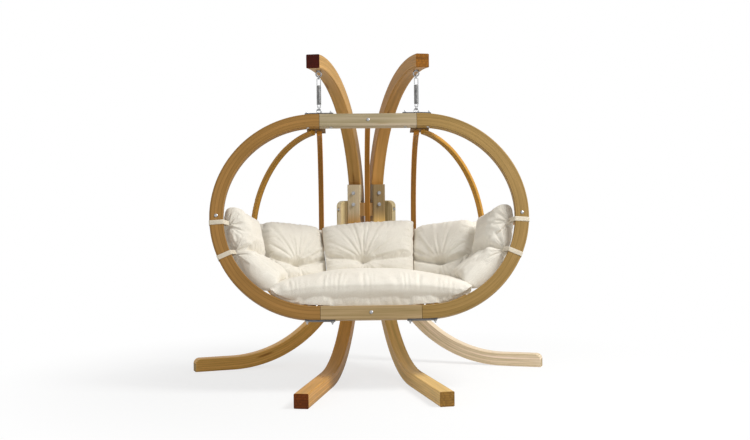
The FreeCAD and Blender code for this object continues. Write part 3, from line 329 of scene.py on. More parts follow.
# %% Lengths along and across a bend
def bent_lengths(tree, outward, upward, radius, fold):
    """How far a point is along and across a quarter bend with straight ends. A fold is half the straight run
    between two such bends, which mirror each other."""
    folded = upward
    if fold is not None:
        folded = calc(tree, "SUBTRACT", calc(tree, "ABSOLUTE", upward), fold)
    first, second = calc(tree, "MAXIMUM", outward, 0.0), calc(tree, "MAXIMUM", folded, 0.0)
    span = calc(tree, "SQRT", calc(tree, "ADD", calc(tree, "MULTIPLY", first, first),
                                   calc(tree, "MULTIPLY", second, second)))
    turn = calc(tree, "MULTIPLY", calc(tree, "ARCTAN2", second, first), radius)
    before = calc(tree, "MAXIMUM", calc(tree, "MULTIPLY", folded, -1.0), 0.0)
    after = calc(tree, "MAXIMUM", calc(tree, "MULTIPLY", outward, -1.0), 0.0)
    along = calc(tree, "ADD", calc(tree, "SUBTRACT", turn, before), after)
    return along, calc(tree, "SUBTRACT", span, radius)


# %% Small helpers for finishes
def new_finish(name):
    """A material, its node tree and its main shader."""
    material = bpy.data.materials.new(name)
    material.use_nodes = True
    return material, material.node_tree, material.node_tree.nodes["Principled BSDF"]


def split(tree, point):
    """The three lengths of a point."""
    axes = add(tree, "SeparateXYZ")
    tree.links.new(point, axes.inputs[0])
    return axes.outputs


def relief(tree, shader, height, strength, distance):
    """Fine bumps on a shader."""
    bump = add(tree, "Bump")
    bump.inputs["Strength"].default_value = strength
    bump.inputs["Distance"].default_value = distance
    tree.links.new(height, bump.inputs["Height"])
    tree.links.new(bump.outputs[0], shader.inputs["Normal"])


# %% A wood finish for one beam
TOP_RUN_END, TOP_RUN_FADE, WOOD_GLOSS, WOOD_RELIEF = -0.03, 0.09, 0.28, (0.22, 0.0006)


def wood_finish(name, place, tone, end_tone, radius=None, fold=None, board=0.0127, ends=None, seam=0.0006,
                top_tone=None, seed=0.0):
    """Wood whose grain follows a straight beam, or a bend about a place's third axis. A beam's straight top
    run may have a tone that differs from the rest, and the end tone covers a band a seam wide at each end,
    which on the bars is painted shade where they meet the ring."""
    material, tree, shader = new_finish(name)
    shader.inputs["Specular IOR Level"].default_value = WOOD_GLOSS
    local = add(tree, "Mapping", vector_type="TEXTURE")
    local.inputs["Location"].default_value = place.to_translation()
    local.inputs["Rotation"].default_value = place.to_euler()
    tree.links.new(add(tree, "TexCoord").outputs["Object"], local.inputs["Vector"])
    along, across, depth = split(tree, local.outputs[0])
    if radius is not None:
        along, across = bent_lengths(tree, along, across, radius, fold)
    grain = add(tree, "Group")
    grain.node_tree = LAMINATED
    for key, value in (("Along", along), ("Across", across), ("Depth", depth), ("Board", board), ("Seed", seed),
                       ("Tone", (*tone, 1)), ("End tone", (*end_tone, 1))):
        plug(tree, value, grain.inputs[key])
    if top_tone is not None:
        change = add(tree, "Mix", data_type="RGBA")
        plug(tree, ranged(tree, along, TOP_RUN_END, TOP_RUN_FADE, 0.0, 1.0), change.inputs["Factor"])
        change.inputs["A"].default_value, change.inputs["B"].default_value = (*top_tone, 1), (*tone, 1)
        plug(tree, change.outputs["Result"], grain.inputs["Tone"])
    if ends is not None:
        low = calc(tree, "LESS_THAN", along, ends[0] + seam)
        high = calc(tree, "GREATER_THAN", along, ends[1] - seam)
        plug(tree, calc(tree, "MAXIMUM", low, high), grain.inputs["End"])
    relief(tree, shader, grain.outputs["Height"], *WOOD_RELIEF)
    tree.links.new(grain.outputs["Color"], shader.inputs["Base Color"])
    tree.links.new(grain.outputs["Roughness"], shader.inputs["Roughness"])
    return material


# %% Finishes on CAD nodes
def coat(node, material):
    """Puts a finish on a CAD node, in place of the plain one it came with."""
    slots = nodes[node].data.materials
    slots.clear()
    slots.append(material)


def timber(node, wood, *rest, **more):
    """Coats a CAD node with a wood of its own."""
    coat(node, wood_finish(wood, *rest, **more))


def axes_at(heart, first, second):
    """A place from a point and its first two directions."""
    first, second = Vector(first).normalized(), Vector(second).normalized()
    third = first.cross(second)
    return Matrix.Translation(heart) @ Matrix((first, second, third)).transposed().to_4x4()


# %% [markdown]
# ## The stand's beams
# Arms and front legs come from one mould of 885 mm, the side legs from one of 720 mm. For each beam the
# place of its mould's centre is worked out from the plan, with the first direction away from the centre to
# the straight end and the second towards the bend. The tones differ from beam to beam, and some of them hold
# painted light and shade: the dark end faces of the left arm and left front leg are painted shade, the dark
# top run of the right front leg is a painted shadow, and the pale top run of the left side leg is painted light.

# %% Stand wood
SIDES = {"left": -1, "right": 1}
ARM_SPLAY, LEG_SPLAY, SIDE_SWEEP = (math.radians(angle) for angle in (16.2, 11.2, 18.6))
MOULD, SIDE_MOULD, BEAM_HALF = 0.885, 0.720, 0.038
LAP_X, LAP_Y, SIDE_LEG_X, SIDE_LEG_Y = 0.064, 0.71573, 0.136, 0.70273
ARM_REACH, ARM_RISE = 0.851, 0.898
LEG_ENDS, ARM_ENDS, SIDE_LEG_ENDS = (-0.175, 2.008), (-0.036, 1.3901), (-0.239, 1.360)
# An arm's tone and end tone. The left arm's end tone is much darker than the right's: painted shade on its end
# face.
ARM_TONES_WITH_PAINTED_SHADE = {"left": ((0.45, 0.250, 0.066), (0.060, 0.0045, 0.0008)),
             "right": ((0.44, 0.225, 0.052), (0.215, 0.080, 0.006))}
# A front leg's tone, end tone and top-run tone. The left leg's darker end tone is painted shade on its end face,
# and the right leg's dark top-run tone is a painted shadow.
LEG_TONES_WITH_PAINTED_SHADE = {"left": ((0.51, 0.255, 0.050), (0.145, 0.032, 0.002), (0.54, 0.440, 0.270)),
             "right": ((0.63, 0.400, 0.120), (0.270, 0.140, 0.030), (0.24, 0.165, 0.072))}
# A side leg's tone, end tone and top-run tone. The left leg's pale top-run tone is painted light, lifting the shade
# that the arm casts there.
SIDE_LEG_TONES_WITH_PAINTED_LIGHT = {"left": ((0.66, 0.370, 0.095), (0.42, 0.29, 0.13), (0.77, 0.615, 0.340)),
                  "right": ((0.75, 0.605, 0.430), (0.50, 0.38, 0.22), (0.41, 0.315, 0.160))}


def plan_way(side, splay):
    """The way a splayed beam points to the front."""
    return Vector((side * math.sin(splay), -math.cos(splay), 0))


for word, side in SIDES.items():
    lap = Vector((side * LAP_X, LAP_Y, 0))
    way = plan_way(side, LEG_SPLAY)
    heart = lap + way * (MOULD + BEAM_HALF) + Vector((0, 0, MOULD + BEAM_HALF))
    tone, end, top = LEG_TONES_WITH_PAINTED_SHADE[word]
    timber(word + "_front_leg", word + "_leg_wood", axes_at(heart, -way, (0, 0, -1)), tone, end,
           radius=MOULD, ends=LEG_ENDS, top_tone=top, seed=3.0 + side)
    way = plan_way(side, ARM_SPLAY)
    heart = lap + way * ARM_REACH + Vector((0, 0, ARM_RISE))
    tone, end = ARM_TONES_WITH_PAINTED_SHADE[word]
    timber(word + "_arm", word + "_arm_wood", axes_at(heart, -way, (0, 0, 1)), tone, end,
           radius=MOULD, ends=ARM_ENDS, seed=7.0 + side)
    way = Vector((side * math.cos(SIDE_SWEEP), -math.sin(SIDE_SWEEP), 0))
    heart = Vector((side * SIDE_LEG_X, SIDE_LEG_Y, 0)) + way * SIDE_MOULD + Vector((0, 0, SIDE_MOULD + BEAM_HALF))
    tone, end, top = SIDE_LEG_TONES_WITH_PAINTED_LIGHT[word]
    timber(word + "_side_leg", word + "_side_leg_wood", axes_at(heart, -way, (0, 0, -1)), tone, end,
           radius=SIDE_MOULD, ends=SIDE_LEG_ENDS, top_tone=top, seed=11.0 + side)
spacer_place = axes_at((0, 0.70, 0.944), (0, 0, 1), (1, 0, 0))
timber("spine_spacer", "spacer_wood", spacer_place, (0.36, 0.20, 0.07), (0.3, 0.15, 0.05), board=0.04)
print("stand wood done")

# %% [markdown]
# ## The chair's frame
# The long ring is two bent halves and two straight bars, and the hoops behind it are thinner strips. They all
# lean back by the chair's own tilt, so their places are set in the chair's frame and turned once.

# %% Chair wood
CHAIR = Matrix.Translation((0, -0.181535, 0.939431)) @ Matrix.Rotation(math.radians(-17.2), 4, "X")
RING_TONES = {"left": (0.295, 0.150, 0.034), "right": (0.310, 0.188, 0.055)}
HOOP_TONE, DIAGONAL_TONE = (0.57, 0.238, 0.032), (0.50, 0.250, 0.036)
PALE_TOP, PALE_BOTTOM = (0.385, 0.310, 0.195), (0.37, 0.258, 0.122)
RING_CENTRE, RING_MIDDLE, SEAM = 0.290, 0.5425, 0.272
# Painted shade: the bars' end tone, a dark band a seam wide where bar and ring meet.
SEAM_PAINTED_SHADE = (0.055, 0.030, 0.012)
HOOP_MOULD, HOOP_CENTRE, DIAGONAL_CENTRE = 0.488, 0.0604, 0.065
MIDDLE_HOOP_RUN, WAIST_Y = 0.0545, 0.0305
SIDEWAYS, BACKWARD, UPWARD = (1, 0, 0), (0, 1, 0), (0, 0, 1)
HOOP_BOARD, RING_BOARD, BAR_BOARD, SEAM_WIDTH = 0.008, 0.0188, 0.0375, 0.0022


def in_chair(heart, first, second):
    """A place given in the chair's own frame."""
    return CHAIR @ axes_at(heart, first, second)


def bent_strip(node, wood, heart, first, second, tone, radius, seed, fold=0.0, board=HOOP_BOARD):
    """Finishes a strip of the chair that is bent at both ends and has one tone all over."""
    place = in_chair(heart, first, second)
    timber(node, wood, place, tone, tone, radius=radius, fold=fold, board=board, seed=seed)


for word, side in SIDES.items():
    bent_strip(word + "_half_ring", word + "_ring_wood", (side * RING_CENTRE, 0, 0), (side, 0, 0), UPWARD,
               RING_TONES[word], RING_MIDDLE, 17.0 + side, board=RING_BOARD)
    bent_strip(word + "_back_hoop", word + "_hoop_wood", (side * SEAM, HOOP_CENTRE, 0), BACKWARD, UPWARD,
               HOOP_TONE, HOOP_MOULD, 23.0 + side)
    slant = Vector((side, 1, 0)).normalized()
    heart = Vector((side * SEAM, 0, 0)) + slant * DIAGONAL_CENTRE
    bent_strip(word + "_diagonal_hoop", word + "_diagonal_wood", heart, slant, UPWARD, DIAGONAL_TONE, HOOP_MOULD,
               29.0 + side)
bent_strip("middle_hoop", "middle_hoop_wood", (0, HOOP_CENTRE, 0), BACKWARD, UPWARD, HOOP_TONE, HOOP_MOULD, 31.0,
           fold=MIDDLE_HOOP_RUN)
bent_strip("waist_hoop", "waist_hoop_wood", (0, WAIST_Y, 0), BACKWARD, SIDEWAYS, HOOP_TONE, RING_MIDDLE, 37.0,
           fold=RING_CENTRE)
for word, height, tone in (("top", RING_MIDDLE, PALE_TOP), ("bottom", -RING_MIDDLE, PALE_BOTTOM)):
    place = in_chair((0, 0, height), SIDEWAYS, UPWARD)
    # The bars' ends get the painted shade of their joint with the ring.
    timber(word + "_bar", word + "_bar_wood", place, tone, SEAM_PAINTED_SHADE, board=BAR_BOARD,
           ends=(-SEAM, SEAM), seam=SEAM_WIDTH, seed=41.0 + height)
print("chair wood done")

# %% [markdown]
# ## Steel
# Bolts, links and springs are zinc, the seam plates are darker, and the brackets behind the ring are lacquered
# brown so that they vanish against the wood. Rolled steel is never one even grey, so a soft noise moves the
# colour and the gloss a little, and a fine one scratches the surface.


# %% A steel finish
def cloud(tree, spot, scale, detail):
    """Soft noise in the object's own space."""
    noise = add(tree, "TexNoise")
    noise.inputs["Scale"].default_value = scale
    noise.inputs["Detail"].default_value = detail
    tree.links.new(spot, noise.inputs["Vector"])
    return noise.outputs["Fac"]


def two_tone(tree, value, dark, light, low, high):
    """A colour that goes from dark to light while a value goes from low to high."""
    ramp = add(tree, "ValToRGB")
    for element, position, colour in zip(ramp.color_ramp.elements, (low, high), (dark, light)):
        element.position, element.color = position, (*colour, 1)
    tree.links.new(value, ramp.inputs[0])
    return ramp.outputs[0]


def steel_finish(name, dark, light, metal, roughness):
    """Metal with cloudy plating and fine scratches."""
    material, tree, shader = new_finish(name)
    shader.inputs["Metallic"].default_value = metal
    spot = add(tree, "TexCoord").outputs["Object"]
    plating, scratch = cloud(tree, spot, 60.0, 4.0), cloud(tree, spot, 900.0, 2.0)
    tree.links.new(two_tone(tree, plating, dark, light, 0.3, 0.7), shader.inputs["Base Color"])
    tree.links.new(calc(tree, "MULTIPLY_ADD", plating, 0.25, roughness), shader.inputs["Roughness"])
    relief(tree, shader, scratch, 0.15, 0.0002)
    return material


# %% Steel parts
STEEL_WORDS = ("bolt", "screw", "nut", "washer", "rod", "eye", "link", "loop", "coil")

zinc = steel_finish("zinc_steel", (0.26, 0.265, 0.27), (0.50, 0.505, 0.51), 1.0, 0.22)
dark_steel = steel_finish("dark_steel", (0.045, 0.045, 0.048), (0.11, 0.11, 0.115), 0.85, 0.32)
brown_steel = steel_finish("brown_steel", (0.13, 0.070, 0.024), (0.22, 0.125, 0.046), 0.15, 0.42)
for node in nodes:
    if node.endswith("_plate"):
        coat(node, dark_steel)
    elif node.endswith("_bracket"):
        coat(node, brown_steel)
    elif any(word in node for word in STEEL_WORDS):
        coat(node, zinc)
print("steel done")

# %% [markdown]
# ## Springs
# The chair hangs on two closed coil springs. A coil is one wire wound round a line, so its points follow a
# circle that rises by one wire thickness each turn, and a small circle is swept along it.

# %% A wire wound round a line
COIL_TOP, COIL_BOTTOM, COIL_TURNS, COIL_RADIUS, WIRE = 1.660467, 1.547967, 25, 0.01075, 0.00222
HANG_X, HANG_Y = 0.272, -0.000266
STEPS_A_TURN, WIRE_SIDES, WIRE_TIP, WIRE_NECK = 28, 10, 0.35, 0.85


def new_piece(name, points, squares):
    """A smooth mesh object from points in the room and their squares."""
    mesh = bpy.data.meshes.new(name)
    mesh.from_pydata([tuple(point) for point in points], [], squares)
    mesh.polygons.foreach_set("use_smooth", [True] * len(mesh.polygons))
    piece = bpy.data.objects.new(name, mesh)
    bpy.context.collection.objects.link(piece)
    return piece


def tube_squares(count, sides, closed):
    """Squares of a tube through so many rings of so many points, open or joined into a loop."""
    return [[i * sides + j, i * sides + (j + 1) % sides, (i + 1) % count * sides + (j + 1) % sides,
             (i + 1) % count * sides + j] for i in range(count if closed else count - 1) for j in range(sides)]


def wound_wire(name, centre):
    """A wire wound from the top to the bottom, with rounded ends."""
    count = COIL_TURNS * STEPS_A_TURN + 1
    turn = np.linspace(0, COIL_TURNS * 2 * math.pi, count)
    drop = np.linspace(COIL_TOP - WIRE, COIL_BOTTOM + WIRE, count)
    out = np.stack((np.cos(turn), np.sin(turn), np.zeros_like(turn)), axis=1)
    thin = np.ones(count)
    thin[[0, -1]], thin[[1, -2]] = WIRE_TIP, WIRE_NECK
    points = []
    for lean in np.arange(WIRE_SIDES) * 2 * math.pi / WIRE_SIDES:
        ring = out * (COIL_RADIUS + WIRE * thin * math.cos(lean))[:, None]
        ring[:, 2] = drop + WIRE * thin * math.sin(lean)
        points.append(ring + np.array((*centre, 0.0)))
    points = np.stack(points, axis=1).reshape(-1, 3)
    squares = tube_squares(count, WIRE_SIDES, False)
    squares.append(list(range(WIRE_SIDES))[::-1])
    squares.append([(count - 1) * WIRE_SIDES + j for j in range(WIRE_SIDES)])
    return new_piece(name, points, squares)


# %% Coil springs
coil_steel = steel_finish("coil_steel", (0.15, 0.15, 0.148), (0.34, 0.34, 0.335), 0.9, 0.30)
for word, side in SIDES.items():
    coil = wound_wire(word + "_coil", (side * HANG_X, HANG_Y))
    coil.data.materials.append(coil_steel)
    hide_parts(word + "_spring_coil")
    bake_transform(coil)
    print(coil.name, "wire", round(COIL_TURNS * 2 * math.pi * COIL_RADIUS, 2), "m")

# %% [markdown]
# ## Raw cotton
# The covers are thick unbleached cotton canvas. Seen near by it has over-and-under threads about a millimetre
# apart with small slubs, and seen from afar it is cream with faint cloudy patches. The weave is two crossed
# waves in three directions at once, so it needs no flat pattern and also works on bent skins.


# %% A cotton finish
def cotton_finish(name, shade, light, thread, depth):
    """Woven cloth: cloudy cream, threads as a fine height, and a soft sheen."""
    material, tree, shader = new_finish(name)
    for key, value in (("Sheen Weight", 0.18), ("Sheen Roughness", 0.6), ("Specular IOR Level", 0.18)):
        shader.inputs[key].default_value = value
    spot = add(tree, "TexCoord").outputs["Object"]
    x, y, z = split(tree, spot)

    def threads(main, slope):
        """Waves one thread apart, which also turn with the depth."""
        run = calc(tree, "ADD", main, calc(tree, "MULTIPLY", y, slope))
        return calc(tree, "SINE", calc(tree, "MULTIPLY", run, 2 * math.pi / thread))

    weave = calc(tree, "MULTIPLY", threads(x, 0.9), threads(z, 0.6))
    slub, patch = cloud(tree, spot, 260.0, 3.0), cloud(tree, spot, 7.0, 3.0)
    tone = summed(tree, calc(tree, "MULTIPLY", patch, 0.55), (slub, 0.55), (weave, 0.10))
    tree.links.new(two_tone(tree, tone, shade, light, 0.32, 0.74), shader.inputs["Base Color"])
    tree.links.new(calc(tree, "MULTIPLY_ADD", slub, 0.2, 0.78), shader.inputs["Roughness"])
    relief(tree, shader, calc(tree, "MULTIPLY_ADD", slub, 1.6, weave), 0.5, depth)
    return material


# %% Cotton for covers and straps
cotton = cotton_finish("raw_cotton", (0.75, 0.695, 0.595), (0.88, 0.840, 0.745), 0.0022, 0.0005)
strap_cotton = cotton_finish("strap_cotton", (0.60, 0.52, 0.39), (0.76, 0.68, 0.54), 0.0016, 0.0004)
print("cotton finishes ready")

# %% [markdown]
# ## Cushions
# Six stuffed cushions in raw cotton: a long seat, three backs and two sides that bend along the ring. Each
# starts as a box skin of small squares in its own three lengths (across, up, and out of its face). The box is
# thinned towards its edges, a sewn crease and a tuft are pressed into its face, and a cloth simulation then
# blows it up like a real filling. Points that rest on the hoops or the seat are kept from going further.


# %% The skin of a box
def box_skin(counts):
    """Points and squares of a box from -1 to 1, with so many squares along each side."""
    lookup, points, squares = {}, [], []

    def index(cell):
        if cell not in lookup:
            lookup[cell] = len(points)
            points.append([2.0 * step / count - 1.0 for step, count in zip(cell, counts)])
        return lookup[cell]

    for axis in range(3):
        first, second = (axis + 1) % 3, (axis + 2) % 3
        for end in (0, counts[axis]):
            for i in range(counts[first]):
                for j in range(counts[second]):
                    corners = []
                    for di, dj in ((0, 0), (1, 0), (1, 1), (0, 1)):
                        cell = [0, 0, 0]
                        cell[axis], cell[first], cell[second] = end, i + di, j + dj
                        corners.append(index(tuple(cell)))
                    squares.append(corners if end else corners[::-1])
    return np.array(points), squares


def smooth_step(value, low, high):
    """0 below low, 1 above high, and a soft rise between."""
    share = np.clip((value - low) / (high - low), 0.0, 1.0)
    return share * share * (3 - 2 * share)


def ripple(value, seed):
    """A wave with uneven steps, between -1 and 1."""
    return (np.sin(value + seed) + 0.6 * np.sin(1.73 * value + 2.1 * seed + 1.0)
            + 0.45 * np.sin(2.61 * value + 3.7 * seed)) / 2.05


# %% Tufts, creases and pleats
DIMPLE, HOLLOW, PLEAT_START, PLEAT_LENGTH, PLEAT_COUNT = 0.028, 0.065, 0.022, 0.15, 18.0


def tuft(across, up, heart, deep, pleats, seed):
    """How far the face goes in round one sewn point, with pleats that run out of it, most of them upwards."""
    dx, dy = across - heart[0], up - heart[1]
    far = np.hypot(dx, dy)
    angle = np.arctan2(dy, dx)
    dimple = -deep * (0.6 * np.exp(-(far / DIMPLE) ** 2) + 0.4 * np.exp(-far / HOLLOW))
    upper = 0.30 + 0.70 * smooth_step(np.sin(angle), -0.15, 0.35)
    rise = pleats * far / (far + PLEAT_START) * np.exp(-far / PLEAT_LENGTH)
    fold = rise * upper * ripple(PLEAT_COUNT * angle, seed)
    return dimple + fold


def groove(distance, width, deep):
    """How far the face goes in at a distance from a sewn line."""
    return -deep * np.exp(-(distance / width) ** 2)


# %% Where each cushion sits
BOWL, LEAN = 0.4745, math.radians(14)
SEAT_FRONT, SEAT_PITCH = np.array((0.0, 0.006, -0.355)), math.radians(16.2)
SEAT_BACKWARD = np.array((0.0, math.cos(SEAT_PITCH), math.sin(SEAT_PITCH)))
SEAT_UP = np.array((0.0, -math.sin(SEAT_PITCH), math.cos(SEAT_PITCH)))


def wall_axes(azimuth, side, base, reach):
    """Low edge, across, up and out of the face of a cushion that leans on the hoops."""
    turn = math.radians(azimuth)
    radial = np.array((side * math.cos(turn), math.sin(turn), 0.0))
    rise = radial * math.sin(LEAN) + np.array((0.0, 0.0, math.cos(LEAN)))
    foot = np.array((0.0 if azimuth == 90 else side * RING_CENTRE, WAIST_Y, -base)) + radial * reach
    across = np.cross(radial, rise)
    across /= np.linalg.norm(across)
    return foot, across, rise, np.cross(across, rise)


MIDDLE = wall_axes(90, 1, 0.263, 0.252)
CORNERS = {side: wall_axes(66, side, 0.270, 0.254) for side in SIDES.values()}
print("middle back stands at", MIDDLE[0].round(3), "and a corner back at", CORNERS[1][0].round(3))


# %% What keeps the cushions in place
BACKS_MEET, LEFT_SLANT, RIGHT_SLANT = 0.267, 0.027, 0.015
HOOP_BULGE, RING_BULGE, FREE_FRONT = 0.011, 0.020, 0.042
SEAT_LIP, SEAT_LIP_ROUND, SEAT_ENDS, SEAT_REACH = 0.047, 0.060, 0.050, 0.590


def between(points):
    """How far from the middle the backs meet: nearer at the seat than at their top edges, most on the left."""
    slant = np.where(points[:, 0] < 0, LEFT_SLANT, RIGHT_SLANT)
    return BACKS_MEET - slant * smooth_step(-points[:, 2], -0.05, 0.27)


def hoop_gap(points):
    """Distance of points from the middle planes of the nearest hoops."""
    x, y = np.abs(points[:, 0]), points[:, 1]
    return np.minimum(np.abs(x - SEAM), np.abs((x - SEAM) - y) * math.sqrt(0.5))


def inside_hoops(points):
    """Points kept inside the hoops, with a small bulge between them, a larger one near the ring, and free in
    front of the hoops' feet."""
    axis = np.zeros_like(points)
    axis[:, 0] = np.clip(points[:, 0], -SEAM, SEAM)
    axis[:, 1] = HOOP_CENTRE
    spoke = points - axis
    length = np.linalg.norm(spoke, axis=1)
    bulge = HOOP_BULGE + RING_BULGE * (1 - smooth_step(points[:, 1], 0.020, 0.055))
    free = FREE_FRONT * (1 - smooth_step(points[:, 1], 0.012, 0.024))
    limit = BOWL + np.maximum(bulge * smooth_step(hoop_gap(points), 0.018, 0.060), free)
    return axis + spoke * np.minimum(1.0, limit / length)[:, None]


def quarter_round(share):
    """How far a rounded edge has dropped: 1 at the edge itself, 0 where the rounding starts."""
    return 1 - np.sqrt(1 - (1 - np.clip(share, 0, 1)) ** 2)


def seat_drop(x, back):
    """How much the seat's top goes down towards its front lip and its two ends."""
    ends = np.clip((np.abs(x) - 0.15) / 0.40, 0, 1) ** 1.6
    return SEAT_LIP * quarter_round(back / SEAT_LIP_ROUND) + SEAT_ENDS * ends


def above_seat(points):
    """Points kept above the top of the seat cushion, as far as it reaches sideways."""
    beside = smooth_step(SEAT_REACH - np.abs(points[:, 0]), 0.0, 0.02)
    back = (points - SEAT_FRONT) @ SEAT_BACKWARD
    height = (points - SEAT_FRONT) @ SEAT_UP + seat_drop(points[:, 0], back) - 0.001
    return points - (np.minimum(height, 0.0) * beside)[:, None] * SEAT_UP


# %% A back cushion before stuffing
PAD_HALF, PAD_INSIDE = 0.072, 0.082
CREASE_WIDTH, TUFT_DEEP, TUFT_PLEATS = 0.015, 0.046, 0.0150
RIM_HEIGHT, RIM_WAVES = 0.0035, 190.0


def edge_profile(share, power, least):
    """Full in the middle and thin at the edge."""
    return least + (1 - least) * np.sqrt(np.maximum(1 - np.abs(share) ** power, 0.0))


def pad_points(skin, across, up, heart, axes, lift, seed, crease, limit):
    """A back cushion from its lengths: thick in the middle, sewn through at one tuft and one line."""
    u, v, w = skin.T
    body = edge_profile(u, 6, 0.20) * edge_profile(v, 6, np.where(v < 0, 0.50, 0.20))
    out = PAD_HALF * w * body - PAD_INSIDE
    off = np.abs(up - heart[1] - lift)
    sewn = groove(off, CREASE_WIDTH, crease) + tuft(across, up, heart, TUFT_DEEP, TUFT_PLEATS, seed)
    fading = smooth_step(1 - np.abs(u), 0.0, 0.14) * smooth_step(1 - np.abs(v), 0.0, 0.16)
    inset = 1 - np.maximum(np.abs(u), np.abs(v))
    rim = RIM_HEIGHT * ripple(np.where(np.abs(u) > np.abs(v), up, across) * RIM_WAVES, seed + 1.0)
    edge = np.exp(-(inset / 0.10) ** 2) * (np.abs(w) < 0.97)
    rim = rim * smooth_step(w, -0.3, 0.6) * (1 - edge) * np.exp(-(inset / 0.22) ** 2)
    out = out + smooth_step(w, 0.2, 0.9) * sewn * fading + rim
    foot, along, rise, face = axes
    points = foot + across[:, None] * along + up[:, None] * rise + out[:, None] * face
    near = np.hypot(across - heart[0], up - heart[1])
    held = np.where((w > 0.95) & ((off < 0.006) | (near < 0.012)), 1.0, 0.0)
    return limit(points), held, limit


# %% Middle and corner backs
MIDDLE_WIDTH, CORNER_HALF, BACK_HEIGHT, SEWN_LIFT = 0.522, 0.155, 0.350, 0.030
MIDDLE_TUFT, CORNER_TUFT = (-0.030, 0.098), (0.012, 0.086)
MIDDLE_CREASE, CORNER_CREASE, CLEAR = 0.022, 0.036, 0.001


def middle_limit(points):
    """The middle back stays between the corner backs."""
    points = above_seat(inside_hoops(points))
    points[:, 0] = np.clip(points[:, 0], CLEAR - between(points), between(points) - CLEAR)
    return points


def corner_limit(points, side):
    """A corner back stays beside the middle one, and leaves room for the side cushion at its outer end."""
    points = above_seat(inside_hoops(points))
    points[:, 0] = side * np.maximum(side * points[:, 0], between(points) + CLEAR)
    foot, along, _, face = CORNERS[side]
    out = (points - foot) @ face
    outer = side * ((points - foot) @ along)
    most = 0.002 + 0.022 * smooth_step(0.125 - outer, 0.0, 0.060)
    return points - np.maximum(out - most, 0.0)[:, None] * face


def shape_middle(skin):
    """The middle back: how far across and up each point is, then its place and what holds it."""
    u, v, _ = skin.T
    across = u * MIDDLE_WIDTH / 2 * (1 - 0.022 * (1 - v ** 2))
    up = BACK_HEIGHT * (0.5 + 0.5 * v) + 0.010 * v * (1 - u ** 2) + 0.018 * u * smooth_step(v, -0.4, 1.0)
    lift = SEWN_LIFT * (2 * across / MIDDLE_WIDTH) ** 2
    return pad_points(skin, across, up, MIDDLE_TUFT, MIDDLE, lift, 2.0, MIDDLE_CREASE, middle_limit)


def shape_corner(skin, side):
    """A corner back, with its seam spread to close the wedge beside the middle one."""
    u, v, w = skin.T
    inner = -side
    across = u * CORNER_HALF * (1 - 0.030 * (1 - v ** 2))
    deep = smooth_step(-w, -1.0, 0.4)
    spread = 0.034 * deep + 0.018 + 0.068 * smooth_step(-v, -0.7, 0.6)
    across = across + inner * spread * smooth_step(u * inner, 0.2, 1.0)
    across = across - inner * 0.030 * deep * smooth_step(-u * inner, 0.2, 1.0)
    up = BACK_HEIGHT * (0.5 + 0.5 * v) + 0.006 * v * (1 - u ** 2) - 0.034 * smooth_step(-v, 0.2, 1.0)
    heart = (CORNER_TUFT[0] * inner, CORNER_TUFT[1])
    lift = SEWN_LIFT * (across / 0.150) ** 2
    return pad_points(skin, across, up, heart, CORNERS[side], lift, 5.0 + 2 * side, CORNER_CREASE,
                      lambda points: corner_limit(points, side))


# %% Side cushions before stuffing
SIDE_FRONT, SIDE_HALF_DEEP, SIDE_HALF, SIDE_THICK = 0.0265, 0.127, 0.116, 0.058
SIDE_ANGLE, SIDE_SPAN, SIDE_LOW, SIDE_LOW_LEAN = -21.0, 29.0, 10.5, 1.5
SIDE_RADIUS, SIDE_TURN_IN = 0.4130, 0.0420
SIDE_CREASE_WIDTH, SIDE_CREASE, SEWN_RADIUS, PULL_RADIUS = 0.018, 0.030, 0.42, 0.45
STRAP_LEVELS, STRAP_PULL, STRAP_GATHER = (-4.0, -24.0), 0.0165, 0.0150
BEHIND_RING, INSIDE_WAIST, CORNER_ROOM = 0.0258, 0.528, 0.0035


def side_limit(moved, side):
    """A side cushion stays inside the waist hoop, behind the ring, before the corner back and above the seat."""
    centre = np.array((side * RING_CENTRE, WAIST_Y, 0.0))
    spoke = moved - centre
    moved = centre + spoke * np.minimum(1.0, INSIDE_WAIST / np.linalg.norm(spoke, axis=1))[:, None]
    moved[:, 1] = np.maximum(moved[:, 1], BEHIND_RING)
    foot, along, _, face = CORNERS[side]
    inner = smooth_step(0.165 - side * ((moved - foot) @ along), 0.0, 0.02)
    short = np.maximum(CORNER_ROOM - (moved - foot) @ face, 0.0) * inner
    return above_seat(moved + short[:, None] * face)


